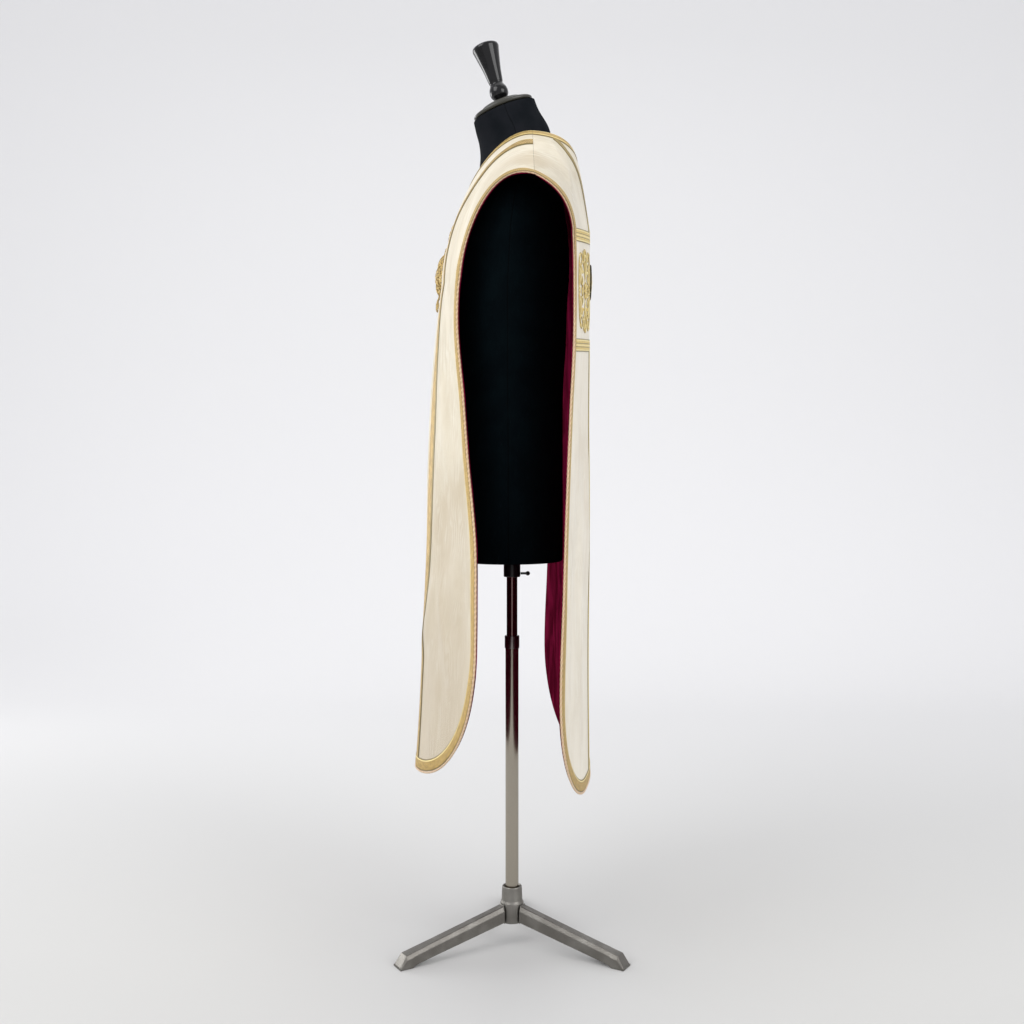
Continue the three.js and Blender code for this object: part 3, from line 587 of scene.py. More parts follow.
def tape(name, panel, grid_x, grid_q):
    """A tape over a grid on the cloth: its top falls by 0.12 + 0.5 s^8 of its thickness across it."""
    rows, columns = grid_x.shape
    across = np.linspace(-1, 1, columns)
    thickness = TRIM_HIGH - TRIM_LOW
    lift = TRIM_HIGH - thickness * (0.12 + 0.5 * across ** 8)
    lift[[0, -1]] = TRIM_LOW + 0.35 * thickness
    index = np.arange(grid_x.size).reshape(rows, columns)
    points = np.concatenate([
        panel.place(grid_x, grid_q, lift[None, :]).reshape(-1, 3),
        panel.place(grid_x, grid_q, TRIM_LOW).reshape(-1, 3)])
    middle = columns // 2
    along = length_along(panel, grid_x[:, middle], grid_q[:, middle])
    uv = pairs(along[:, None], across * 0.5 + 0.5)
    return body(name, points, walls(grid_faces(index), grid_x.size), np.tile(uv, (2, 1)))


def gilt(name, ground, shade, width, stripes, knot, browned=None):
    """Gilt weaving: rows of knots on a ground, with coloured lines along it at some places."""
    paint = Paint(name, metallic=0.45, roughness=0.42)
    along, across = paint.uv.part("X"), paint.uv.part("Y")
    offset = (across * (width / knot * np.pi)).sine()
    knots = (along * (2 * np.pi / knot)).sine() * offset
    wear = paint.lumps(90, 4, detail=3).between(0.35, 0.7)
    level = knots * 0.5 + 0.5
    # Painted shade: the ground takes its shade colour in the hollows between the knots and its own colour
    # on them, varied by lumps of wear.
    colour = (level * 0.55 + wear * 0.45).mixed(shade, ground)
    relief = level
    for place, half, line in stripes:
        mark = 1 - (across - place).size().between(half * 0.6, half)
        colour = mark.mixed(colour, line)
        relief = relief * (1 - mark * 0.8)
    if browned:
        fade = (1 - along.between(0.8 * browned[0], browned[0])) * 0.7
        colour = fade.mixed(colour, browned[1])
    paint.set("Base Color", colour)
    paint.set("Roughness", 0.5 - level * 0.16)
    paint.bump(relief, 0.0007)
    return paint


# The olive lines along a tape's two edges are a dark edge thread and also painted shade where the tape's
# edges turn down; the olive lines inside a double tape are woven.
GILT, GILT_SHADE, OLIVE = (0.64, 0.43, 0.115), (0.33, 0.21, 0.05), (0.16, 0.12, 0.03)
SELVEDGE = (0.90, 0.76, 0.34)
edge_gilt = gilt("edge galloon", GILT, GILT_SHADE, EDGE_GALLOON,
                 [(0.02, 0.05, OLIVE), (0.86, 0.05, SELVEDGE), (0.96, 0.045, OLIVE)], 0.0028)
for side, panel in PANELS.items():
    path, along = walked(panel, outline(panel), TAPE_STEP)
    width = GALLOON_WIDTH(np.minimum(along, along[-1] - along))
    grid = beside(panel, *path, panel.out * width * np.linspace(0, 1, 9)[:, None])
    galloon = tape(f"{side}_edge_tape", panel, *grid)
    fitted(galloon, edge_gilt, "form", "gold_galloon", f"{side}_edge_galloon")


# ---------- Edge cord ----------
# A twisted cord of peach-coloured rayon, 2.2 to 3.6 mm thick, oversewn along the outer edge where the
# silk and the lining meet.
CORD_RADIUS = curve_through((0, 0.10, 0.28, 0.40, 2.0), (0.0011, 0.0011, 0.0018, 0.0018, 0.0018))
CORD_TWIST, CORD_LOBES, CORD_SINK = 0.0075, 0.16, 0.0012
CORD_STEP = 0.0013


def closed_rings(name, rings, uv=None):
    """A body through rings of points, closed at each end by a flat face."""
    count = rings.shape[1]
    index = np.arange(rings.shape[0] * count).reshape(-1, count)
    around = np.concatenate([index, index[:, :1]], 1)
    return body(name, rings.reshape(-1, 3), [grid_faces(around), index[:1, :], index[-1:, ::-1]], uv)


cord_paint = Paint("peach cord", roughness=0.55, sheen_weight=0.3)
lay = 2 * np.pi / CORD_TWIST
strand = (cord_paint.uv.part("X") * lay + cord_paint.uv.part("Y") * (4 * np.pi)).sine()
cord_paint.set("Base Color", (strand * 0.5 + 0.5).mixed((0.70, 0.45, 0.25), (0.90, 0.67, 0.43)))
cord_paint.bump((cord_paint.uv.part("X") * 9000 + cord_paint.uv.part("Y") * 90).sine(), 0.0001)

for side, panel in PANELS.items():
    path, along = walked(panel, outline(panel), CORD_STEP)
    radius = CORD_RADIUS(np.minimum(along, along[-1] - along))
    grid_x, grid_q = beside(panel, *path, [-panel.out * (radius + SEW_GAP)])
    x, q = grid_x[:, 0], grid_q[:, 0]
    middle = panel.place(x, q, radius - CORD_SINK)
    normal = panel.outward(panel.cloth, x, q)
    aside = np.cross(unit(np.gradient(middle, axis=0)), normal)
    aside[:, 1] *= smooth(q, 0, SEAM_BLEND)
    aside = unit(aside)
    along = length_along(panel, x, q)
    turn = whole_turn(10)
    lobes = 1 + CORD_LOBES * np.cos(2 * (turn[None, :] - along[:, None] * np.pi / CORD_TWIST))
    ring = radius[:, None, None] * 0.9 * lobes[..., None] * (
        np.cos(turn)[None, :, None] * aside[:, None] + np.sin(turn)[None, :, None] * normal[:, None])
    uv = pairs(along[:, None], turn / (2 * np.pi))
    cord = closed_rings(f"{side}_twisted_cord", middle[:, None] + ring, uv)
    fitted(cord, cord_paint, "form", "edge_cord", f"{side}_edge_cord")


# ---------- Galloon of the neck ----------
# The same kind of tape, 24 mm wide, round the neck opening. Its corners are eased round, and it is
# joined on top of each shoulder.
NECK_GALLOON = 0.024
neck_gilt = gilt("neck galloon", GILT, GILT_SHADE, NECK_GALLOON,
                 [(0.03, 0.05, OLIVE), (0.17, 0.05, SELVEDGE), (0.83, 0.05, SELVEDGE), (0.96, 0.05, OLIVE)],
                 0.0027)
neck_line = {}
for side, panel in PANELS.items():
    half_x, half_q = panel.neck()
    path = np.r_[half_x, -half_x[-2::-1]], np.r_[half_q, half_q[-2::-1]]
    path, along = walked(panel, path, TAPE_STEP / 1.3)
    grid = beside(panel, *path, -panel.out * np.linspace(0, NECK_GALLOON, 9))
    neck_line[side] = grid[0][:, -1], grid[1][:, -1]
    galloon = tape(f"{side}_neck_tape", panel, *grid)
    fitted(galloon, neck_gilt, "form", "gold_galloon", f"{side}_neck_galloon")


# ---------- Column braids of the front ----------
# Two rows of speckled gilt tape, 13 to 24 mm wide, frame the centre of the front from the shoulder
# seam, where they stand wider apart, to the hem under the edge tape.
FRONT_OUTER = curve_through(
    (0.0, 0.10, 0.135, 0.17, 0.21, 0.24, 0.27, 0.317, 0.385, 0.62, 0.73, 0.82, 0.90, 1.0),
    (0.130, 0.130, 0.119, 0.096, 0.086, 0.0835, 0.085, 0.090, 0.0945, 0.0945, 0.091, 0.084, 0.080, 0.080))
FRONT_WIDTH = curve_through((0.0, 0.02, 0.06, 0.30, 0.42, 0.72, 0.90, 1.0),
                            (0.018, 0.018, 0.013, 0.014, 0.024, 0.024, 0.020, 0.020))
COLUMN_POINTS = 11
COLUMN_LINES = [(0.03, 0.04, OLIVE), (0.13, 0.05, SELVEDGE), (0.36, 0.03, OLIVE), (0.5, 0.05, SELVEDGE),
                (0.64, 0.03, OLIVE), (0.87, 0.05, SELVEDGE), (0.97, 0.04, OLIVE)]
# Its wide olive band along the outer edge is a dark edge thread and also painted shade of the braid's edge.
front_gilt = gilt("front column braid", (0.66, 0.46, 0.16), (0.27, 0.17, 0.05), 0.020,
                  [(0.05, 0.06, SELVEDGE), (0.94, 0.13, OLIVE)], 0.0042)


def lane(x_inner, x_outer, q):
    """Grids of a tape that runs down between two places across, one row for each q."""
    share = np.linspace(0, 1, COLUMN_POINTS)
    grid_x = x_inner[:, None] * (1 - share) + x_outer[:, None] * share
    return grid_x, np.broadcast_to(q[:, None], grid_x.shape).copy()


def hem_end(panel, x):
    """Where a tape that runs down at x meets the edge tape along the hem."""
    centre, width, height = panel.corner
    angle = np.arccos(np.clip((x - centre) / width, 0, 1))
    z = panel.hem + height * (1 - np.sin(angle)) + HEM_GALLOON + SEW_GAP
    return panel.q_at(x, z)


for side, sign in (("left", 1), ("right", -1)):
    q = np.linspace(0, 1, round(1.05 / TAPE_STEP))
    outer = FRONT_OUTER(q)
    grid = lane(outer - FRONT_WIDTH(q), outer, q)
    grid = grid[0], grid[1] * hem_end(FRONT, grid[0])
    braid = tape(f"front_column_braid_{side}", FRONT, sign * grid[0], grid[1])
    fitted(braid, front_gilt, "form", "gold_galloon", f"front_column_galloon_{side}")


# ---------- Braids of the back cross ----------
# Double gilt tape, 20 mm wide with a line down its middle: down from the neck, mitred into the upper
# line of the arm, and again from the lower line of the arm down to the hem. It is browned and drawn
# narrow beside the neck.
BACK_COLUMN = (0.080, 0.100)
COLUMN_START = 0.046
UPPER_ROWS, LOWER_ROWS = 70, 180
BACK_SPLAY = curve_through((0.0, 0.022, 0.05, 0.071, 0.097, 0.123, 0.149, 0.20, 0.235),
                           (-0.015, -0.012, -0.002, 0.005, 0.0115, 0.0115, 0.010, 0.005, 0.0))
CROSS_GILT = (0.86, 0.66, 0.21), (0.60, 0.43, 0.11), 0.020, COLUMN_LINES, 0.0029
back_gilt = {"upper": gilt("upper cross braid", *CROSS_GILT, browned=(0.17, (0.20, 0.145, 0.06))),
             "lower": gilt("lower cross braid", *CROSS_GILT)}
UPPER_BAND = (1.1695, 0.205), (1.190, 0.21)
LOWER_BAND = (0.9925, 0.14), (1.0125, 0.144)


def band_line(line, x):
    """The q of a cross line: its height at the centre, less its fall times x."""
    return BACK.q_at(x, line[0] - line[1] * np.abs(x))


def arm_end(q):
    """Where a tape that runs out along the arm at q meets the edge tape."""
    edge_x, edge_q = BACK.edge(700)
    inner_x, inner_q = BACK.step_aside(edge_x, edge_q, EDGE_GALLOON + SEW_GAP)
    keep = slice(4, 420)
    return np.interp(q, inner_q[keep], inner_x[keep])


def elbow(start, corner, end, rows):
    """Grids of a tape in two straight legs with a mitre between them, each leg of so many rows."""
    share = np.linspace(0, 1, rows)[:, None]
    return tuple(np.concatenate([a * (1 - share) + b * share, (b * (1 - share) + c * share)[1:]])
                 for a, b, c in zip(start, corner, end))


for side, sign in (("left", 1), ("right", -1)):
    share = np.linspace(0, 1, COLUMN_POINTS)
    across = BACK_COLUMN[0] * share + BACK_COLUMN[1] * (1 - share)
    for part, band, outer_edge_first in (("upper", UPPER_BAND, True), ("lower", LOWER_BAND, False)):
        low_line, high_line = band
        mix = share if outer_edge_first else 1 - share
        height = [high * (1 - mix) + low * mix for high, low in zip(high_line, low_line)]
        corner_q = band_line(height, across)
        out_q = band_line(height, arm_end(corner_q + 0.03 * height[1]))
        out_x = arm_end(out_q)
        out_q = band_line(height, out_x)
        if outer_edge_first:
            start_q = np.full(len(share), COLUMN_START)
            grid_x, grid_q = elbow((across, start_q), (across, corner_q), (out_x, out_q), UPPER_ROWS)
            line_x, line_q = neck_line["back"]
            keep = line_x > 0
            near = np.interp(grid_q, line_q[keep], line_x[keep]) + SEW_GAP
            leg = grid_q[:UPPER_ROWS]
            grid_x[:UPPER_ROWS] += BACK_SPLAY(leg) + 0.009 * share * (1 - smooth(leg, 0.14, 0.20))
            grid_x = np.maximum(grid_x, np.minimum(near, grid_x.max(1, keepdims=True) + 0.0004))
        else:
            end_q = hem_end(BACK, across)
            grid_x, grid_q = elbow((out_x, out_q), (across, corner_q), (across, end_q), LOWER_ROWS)
        braid = tape(f"back_cross_braid_{part}_{side}", BACK, sign * grid_x, grid_q)
        fitted(braid, back_gilt[part], "form", "gold_galloon", f"back_cross_galloon_{part}_{side}")


# ---------- Goldwork of the cross's arms ----------
# Leafy scrolls in gilt cord and padded satin stitch on the bare silk, a whole spray on each arm.
# Each stem is a cord couched down along its length, and each leaf is crowned over a padding.
WORK_LOW = 0.0007
gold_thread = Paint("goldwork", metallic=0.3, roughness=0.42)
twist = (gold_thread.uv.part("X") * 4200 + gold_thread.uv.part("Y") * 5).sine() * 0.5 + 0.5
tarnish = gold_thread.place.noise(120, detail=2).between(0.4, 0.64)
# Painted shade and highlight: each cord, leaf and ring of padding is painted dark along its sides and
# bright along its crown.
lit_crown = 1 - (gold_thread.uv.part("Y") - 0.5).size().between(0.2, 0.5)
gold_thread.set("Base Color", (twist * 0.3 + lit_crown * 0.7).mixed(
    (0.28, 0.19, 0.05), tarnish.mixed((0.82, 0.62, 0.22), (1.0, 0.88, 0.46))))
gold_thread.set("Roughness", 0.46 - twist * 0.12)
gold_thread.bump(twist, 0.0003)


def heading(degrees):
    """The cosine and the sine of an angle."""
    return np.cos(np.radians(degrees)), np.sin(np.radians(degrees))


def spoke(reach, degrees):
    """The place at a distance from the middle in one direction."""
    return tuple(reach * part for part in heading(degrees))


class Spray:
    """Raised work on a panel, drawn in its own frame: a to +X and b upward from a middle place."""

    def __init__(self, panel, middle_x, middle_z, ground=None, sign=1, fall=0.0):
        self.panel, self.sign, self.middle_x, self.fall = panel, sign, middle_x, fall
        reach = np.linspace(0, 0.5, 200)
        self.middle_q = np.interp(-middle_z, -panel.plain(middle_x, reach)[:, 2], reach)
        self.ground = ground or (lambda a, b: np.full(np.shape(a), WORK_LOW))
        self.places, self.faces, self.uvs, self.count = [], [], [], 0

    def add(self, a, b, low, high, uv, wrap=False):
        """A patch between two heights: x is the middle's plus a, q the middle's less b plus fall * a."""
        x = self.middle_x + a
        level = self.panel.chest_height(x) - self.panel.chest_height(self.middle_x)
        q = self.middle_q - b + self.fall * a + level
        x = self.sign * x
        index = np.arange(a.size).reshape(a.shape)
        if wrap:
            index = np.concatenate([index, index[:, :1]], 1)
        faces, = walls(grid_faces(index), a.size)
        if self.sign * self.panel.out < 0:
            faces = faces[:, ::-1]
        self.places += [np.stack([x.ravel(), q.ravel(), lift.ravel()]) for lift in (high, low)]
        self.faces.append(faces + self.count)
        self.uvs.append(np.tile(uv, (2, 1)))
        self.count += 2 * a.size

    def stem(self, places, width, height, steps=64):
        """A cord through places in millimetres: sqrt(1 - 0.96 s^2) high across, tapered at both ends."""
        places = np.array(places, float) / 1000
        knots = np.arange(len(places))
        t = np.linspace(0, len(places) - 1, steps)
        a, b = curve_through(knots, places[:, 0])(t), curve_through(knots, places[:, 1])(t)
        da, db = np.gradient(a), np.gradient(b)
        run = np.hypot(da, db)
        side = np.linspace(-1, 1, 7)
        half = width / 2 * (0.35 + 0.65 * smooth(np.minimum(t, t[-1] - t), 0, 0.5))
        grid_a = a[:, None] - (db / run * half)[:, None] * side
        grid_b = b[:, None] + (da / run * half)[:, None] * side
        low = self.ground(grid_a, grid_b)
        arch = np.sqrt(1 - 0.96 * side ** 2) * (half / half.max())[:, None]
        self.add(grid_a, grid_b, low, low + height * arch,
                 pairs(np.cumsum(run)[:, None], side * 0.5 + 0.5))

    def scrolls(self, places, width, height, ups=(1, -1)):
        """The same stem on both sides of the middle, and above and below it unless told."""
        for up in ups:
            for way in (1, -1):
                self.stem([(way * a, up * b) for a, b in places], width, height)

    def leaf(self, root, degrees, length, width, height, bend=0.0):
        """A pointed leaf from its root, in millimetres: its half width is sin(pi t^0.8)^0.75 along it,
        and its height (1 - s^4) sin(pi t), less a narrow groove down its middle.
        """
        along, side = np.linspace(0, 1, 16)[:, None], np.linspace(-1, 1, 9)
        length, half = length / 1000, width / 2000
        span = half * np.sin(np.pi * along ** 0.8) ** 0.75 + 0.0003
        turn = np.radians(degrees) + bend * along
        a = root[0] / 1000 + length * along * np.cos(turn) - side * span * np.sin(turn)
        b = root[1] / 1000 + length * along * np.sin(turn) + side * span * np.cos(turn)
        low = self.ground(a, b)
        groove = 0.45 * np.exp(-(side / 0.16) ** 2)
        crown = (1 - side ** 4) * (1 - groove) * np.sin(np.pi * (0.06 + 0.88 * along))
        self.add(a, b, low, low + 0.0003 + height * crown, pairs(along * length, side * 0.5 + 0.5))

    def boss(self, middle, radius, height):
        """A round knot, sqrt(1 - 0.97 r^2) high."""
        ring, turn = np.linspace(1, 0.02, 6)[:, None], whole_turn(16)
        a = middle[0] / 1000 + radius / 1000 * ring * np.cos(turn)
        b = middle[1] / 1000 + radius / 1000 * ring * np.sin(turn)
        low = self.ground(a, b)
        uv = pairs(turn / (2 * np.pi) * radius / 160, 0.5 + 0 * ring)
        self.add(a, b, low, low + 0.0002 + height * np.sqrt(1 - 0.97 * ring ** 2), uv, wrap=True)

    def flower(self, middle, petals, inner, outer, width, height, turned=0.0):
        """Petals round a middle."""
        for k in range(petals):
            degrees = turned + 360 / petals * k
            root = [centre + reach for centre, reach in zip(middle, spoke(inner, degrees))]
            self.leaf(root, degrees, outer - inner, width, height)
        self.boss(middle, inner * 1.15, height * 1.25)

    def finished(self, name):
        """All of it as one object."""
        points = self.panel.place(*np.concatenate(self.places, 1))
        return body(name, points, [np.concatenate(self.faces)], np.concatenate(self.uvs))


WIDER, TALLER, STEM_TALLER = 1.06, 1.08, 1.10
for side, sign in (("left", 1), ("right", -1)):
    spray = Spray(BACK, 0.176, 1.0600, sign=sign, fall=0.175)
    for up in (1, -1):
        for stem in (
                [(2, 12), (-5, 27), (-19, 38), (-36, 35), (-44, 22), (-37, 11), (-26, 14), (-28, 22)],
                [(2, 12), (9, 29), (24, 39), (43, 35), (51, 21), (43, 9), (32, 11), (33, 20)],
                [(-67, 0), (-66, 20), (-60, 42), (-46, 54), (-33, 52), (-29, 44), (-36, 41)],
                [(68, 0), (67, 18), (61, 38), (48, 49), (35, 49), (31, 42), (38, 39)],
                [(-9, 47), (-4, 55), (6, 56), (10, 48), (4, 43)]):
            spray.stem([(a * WIDER, up * b * STEM_TALLER) for a, b in stem], 0.0031, 0.0020)
        for root, degrees, length, width, bend in (
                ((-57, 6), 92, 34, 11, -0.3), ((-14, 34), 66, 21, 8, 0.6), ((16, 36), 112, 20, 8, -0.6),
                ((59, 5), 88, 31, 11, 0.3), ((-47, 31), 128, 17, 7, 0.5), ((50, 29), 55, 16, 7, -0.5),
                ((-32, 33), 215, 13, 6, 0.4), ((36, 34), -35, 13, 6, -0.4), ((0, 17), 90, 25, 9, 0.0),
                ((-23, 9), 200, 17, 6, 0.5), ((27, 8), -20, 17, 6, -0.5)):
            spray.leaf((root[0] * WIDER, up * root[1] * TALLER), up * degrees, length * 1.10,
                       width * 0.95, 0.0022, up * bend)
        for middle in ((-52, 53), (28, 26), (-23, 26), (55, 47), (0, 49)):
            spray.boss((middle[0] * WIDER, up * middle[1] * TALLER), 3.0, 0.0023)
    spray.flower((1, 0), 8, 4.5, 15, 7, 0.0024)
    spray.flower((-66, 0), 5, 2, 7, 4, 0.0018, 36)
    spray.flower((67, 0), 5, 2, 7, 4, 0.0018)
    fitted(spray.finished(f"back_arm_goldwork_{side}"), gold_thread, "form", "goldwork",
           f"back_arm_embroidery_{side}")


# ---------- Medallion of the back ----------
# A round mount of gilt thread over a padding, 60 mm across, in the middle of the cross: a rayed
# flower in a ring of knots. Its stiffened edge is bound in black cord.
MEDALLION_RADIUS, MEDALLION_HEIGHT = 0.030, 1.109


def dome(spray, radius, profile, name):
    """A round pad on a spray, its height given by profile(distance, angle)."""
    ring = np.linspace(1, 0.015, 34)[:, None] * radius
    turn = whole_turn(128)
    high = profile(ring, turn)
    uv = pairs(turn / (2 * np.pi) * 0.05, 0.5 + 0.3 * np.cos(ring * 1600))
    spray.add(ring * np.cos(turn), ring * np.sin(turn), np.full(high.shape, WORK_LOW), high, uv, wrap=True)
    return spray.finished(name)


def medallion_height(ring, turn):
    """Height at a distance and angle: a low hill, twelve rays, a ring of forty knots and a boss."""
    crown = 0.0052 - 0.0026 * (ring / MEDALLION_RADIUS) ** 2
    rays = 0.0006 * np.cos(12 * turn) * smooth(ring, 0.006, 0.010) * (1 - smooth(ring, 0.018, 0.021))
    knots = 0.0005 * np.cos(40 * turn) * np.exp(-((ring - 0.0225) / 0.0012) ** 2)
    middle = 0.0012 * np.sqrt(np.clip(1 - (ring / 0.006) ** 2, 0, 1))
    return crown + rays + knots + middle - 0.0008 * smooth(ring, 0.0235, 0.0250) + 0 * turn


medallion = dome(Spray(BACK, 0, MEDALLION_HEIGHT), 0.0262, medallion_height, "back_medallion_work")
fitted(medallion, gold_thread, "form", "goldwork", "back_medallion")

binding = Spray(BACK, 0, MEDALLION_HEIGHT)
ring = np.linspace(0, np.pi, 9)[:, None]
turn = whole_turn(128)
out = 0.0281 + 0.0019 * np.cos(ring) + 0 * turn
binding.add(out * np.cos(turn), out * np.sin(turn), np.full(out.shape, WORK_LOW),
            0.0012 + 0.0028 * np.sin(ring) + 0.00012 * np.cos(60 * turn + 3 * ring),
            pairs(turn / 100, 0.5 + 0 * ring), wrap=True)
black_cord = Paint("black cord", base_color=(0.004, 0.004, 0.004), roughness=0.6, specular_ior_level=0.2)
binding = binding.finished("back_medallion_binding")
black_cord.on(binding)
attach(binding, "form")


# ---------- Motifs of the front ----------
# Padded goldwork down the middle of the front: a small flower under the neck, and at the height of
# the chest a thick foliate cross with scrolls between its arms and a tail of small scrolls.
dark_gold = Paint("dark goldwork", metallic=0.3, roughness=0.5)
grain = dark_gold.place.noise(420, detail=1).between(0.38, 0.62)
dark_gold.set("Base Color", grain.mixed((0.22, 0.145, 0.04), (0.68, 0.49, 0.18)))
dark_gold.bump(grain, 0.0006)


def pad_height(a, b):
    """Height of the padding: a hill 1 - d^3 with four low lobes, and a lower one under it."""
    distance = np.hypot(a / 0.030, b / 0.028)
    lobes = 1 + 0.12 * np.cos(4 * np.arctan2(b, a))
    tail = np.hypot(a / 0.017, (b + 0.047) / 0.018)
    return (WORK_LOW + 0.0084 * np.clip(1 - (distance / lobes) ** 3, 0, 1)
            + 0.0044 * np.clip(1 - tail ** 3, 0, 1))


def main_pad(ring, turn):
    """The padding's height at a distance and angle from its middle."""
    return np.maximum(pad_height(ring * np.cos(turn), ring * np.sin(turn)), WORK_LOW + 0.0002)


spray = Spray(FRONT, 0, 1.118, ground=pad_height)
for k in range(4):
    turned = 90 * k
    spray.leaf(spoke(6, turned), turned, 25, 12, 0.0028)
    for way in (1, -1):
        spray.leaf(spoke(15, turned + way * 24), turned + way * 40, 14, 6.5, 0.0024, way * 0.5)
    c, s = heading(turned + 45)
    curl = [(9, 0), (15, -4), (21, -4), (24, 1), (21, 6), (16, 5), (16, 1), (19, 0)]
    spray.stem([(a * c - b * s, a * s + b * c) for a, b in curl], 0.0030, 0.0024)
spray.flower((0, 0), 8, 3.5, 10, 5, 0.0030, 22.5)
spray.scrolls([(3, 28), (10, 33), (17, 32), (19, 26), (14, 23), (11, 27)], 0.0028, 0.0020)
spray.scrolls([(0, -30), (5, -38), (12, -42), (14, -49), (8, -53), (4, -48)], 0.0030, 0.0021, ups=(1,))
spray.leaf((0, -34), -90, 20, 8, 0.0022)
spray.boss((0, -31), 3.2, 0.0026)
front_motif = dome(spray, 0.0335, main_pad, "front_motif_work")
fitted(front_motif, dark_gold, "form", "goldwork", "front_motif")


def upper_pad(a, b):
    """Height of the upper padding: one low oval hill, 1 - d^3."""
    return WORK_LOW + 0.0022 * np.clip(1 - (np.hypot(a / 0.018, b / 0.015)) ** 3, 0, 1)


spray = Spray(FRONT, 0, 1.193, ground=upper_pad)
spray.flower((0, 0), 6, 3.5, 14, 8, 0.0020, 30)
spray.scrolls([(4, 9), (9, 14), (16, 13), (18, 7), (14, 4), (12, 8)], 0.0026, 0.0018)
fitted(spray.finished("front_upper_motif_work"), dark_gold, "form", "goldwork", "front_upper_motif")


# ---------- Dress form ----------
# A stuffed torso without limbs, covered in black jersey with a seam down each side and one down
# the middle in front and behind. The neck leans a little forward.
# Rows in millimetres: height, half width, nearest and farthest place in the middle; tilt in degrees.
TORSO = [
    (643, 163, -94, 83, 0), (646, 165.6, -95.8, 84.4, 0), (652, 167, -97, 85, 0),
    (720, 166, -98, 85, 0), (800, 158, -98, 85, 0), (880, 152, -99, 85, 0),
    (936, 152, -101, 86, 0), (1000, 158, -104, 90, 0), (1065, 169, -107, 92, 0),
    (1115, 182, -106, 95.5, 0), (1155, 192, -101, 95.5, 0), (1190, 196, -89, 92.2, 0),
    (1213, 190, -78, 89.3, 0), (1235, 170, -69, 86.5, 0), (1255, 144, -62, 86, 0),
    (1275, 113, -57, 81, 0), (1292, 88, -55, 78, 2), (1310, 71, -54, 74.5, 5),
    (1330, 56, -53, 69.5, 9), (1355, 46, -55, 61.5, 14), (1378, 39, -60, 46, 19),
    (1396.5, 35, -64, 38, 21),
]
jersey = Paint("black jersey", roughness=0.85, specular_ior_level=0.05)
wear = jersey.place.noise(26, detail=3).between(0.3, 0.7)
seam_at = (jersey.uv.part("X") * 4).maths("PINGPONG", jersey.uv.part("X") * 4, 0.5)
seam = 1 - seam_at.between(0.004, 0.012)
jersey_colour = wear.mixed((0.0006, 0.0026, 0.0040), (0.0013, 0.0045, 0.0062))
neck_wear = jersey.place.part("Z").between(1.24, 1.32)
jersey_colour = (neck_wear * (wear * 0.5 + 0.5)).mixed(jersey_colour, (0.010, 0.011, 0.014))
jersey.set("Base Color", (seam * 0.8).mixed(jersey_colour, (0.0005, 0.0007, 0.001)))
jersey.bump(1 - seam + jersey.place.noise(900, detail=1) * 0.25, 0.0008)


torso_z, half, near, far, tilt = (np.array(TORSO) / (1000, 1000, 1000, 1000, 1)).T
knots = np.arange(len(TORSO))
t = np.linspace(0, knots[-1], 150)
height, half, near, far, tilt = (
    curve_through(knots, value)(t)[:, None] for value in (torso_z, half, near, far, tilt))
around = whole_turn(128)
depth = (far - near) / 2 * np.sin(around)
rings = np.stack([half * np.cos(around), (near + far) / 2 + depth,
                  height + depth * np.tan(np.radians(tilt))], -1)
torso = closed_rings("jersey_torso", rings, pairs(around / (2 * np.pi), height))
fitted(torso, jersey, "form", "black_jersey", "form_torso")


# ---------- Neck cap and finial ----------
# Turned wood in black lacquer: a domed disc that closes the neck, and a finial screwed into it,
# with a bead at its foot and a long flared stem. Both lean forward with the neck.
def turned_body(name, profile, place=(0, 0, 0), lean=0.0, sides=96, smoothed=False, narrower=1.0):
    """A body turned on a lathe: (radius, height) in millimetres, narrowed, leaned, moved by place."""
    profile = np.array(profile) / 1000
    if smoothed:
        length = np.r_[0, np.cumsum(np.linalg.norm(np.diff(profile, axis=0), axis=1))]
        t = np.linspace(0, length[-1], 160)
        profile = np.stack([curve_through(length, profile[:, k])(t) for k in (0, 1)], 1)
        profile[:, 0] = np.maximum(profile[:, 0], 0.0001)
    turn = whole_turn(sides)
    radius, height = profile[:, :1], profile[:, 1:]
    x, y, z = radius * np.cos(turn) * narrower, radius * np.sin(turn), height + 0 * turn
    c, s = heading(lean)
    rings = np.stack([x, y * c - z * s, y * s + z * c], -1) + np.array(place)
    return closed_rings(name, rings, pairs(turn / (2 * np.pi), height))


worn_lacquer = Paint("worn lacquer", base_color=(0.040, 0.039, 0.031), roughness=0.26,
                     specular_ior_level=0.5)
cap = turned_body("neck_cap_turned", [
    (0.2, -3.75), (48.5, -3.75), (50, -3.4), (51.2, -2.5), (51.8, -1.2), (52, 0), (51.6, 1.2),
    (50.5, 2.2), (48.5, 2.8), (44, 3.3), (38.8, 3.7), (38, 4.5), (37.4, 6), (36.2, 7.6), (34, 9.1),
    (30.5, 10.2), (25, 10.8), (15, 11), (0.2, 11),
], (0, -0.015, 1.402), lean=21, narrower=0.7)
fitted(cap, worn_lacquer, "form", "black_lacquer", "form_neck_cap")

finial = turned_body("finial_turned", [
    (0.2, 5.7), (11, 5.7), (9, 7), (11, 10), (14.6, 15), (15.7, 21), (14.6, 27.5), (11.8, 33),
    (11, 36), (12, 39), (15, 60), (19, 80), (22, 94), (22.6, 97), (21.4, 101), (13, 104),
    (0.2, 105.5),
], (0, -0.0158, 1.4085), lean=17, smoothed=True)
lacquer = Paint("black lacquer", base_color=(0.0022, 0.0022, 0.0028), roughness=0.13,
                specular_ior_level=0.42)
fitted(finial, lacquer, "form", "black_lacquer", "form_finial")


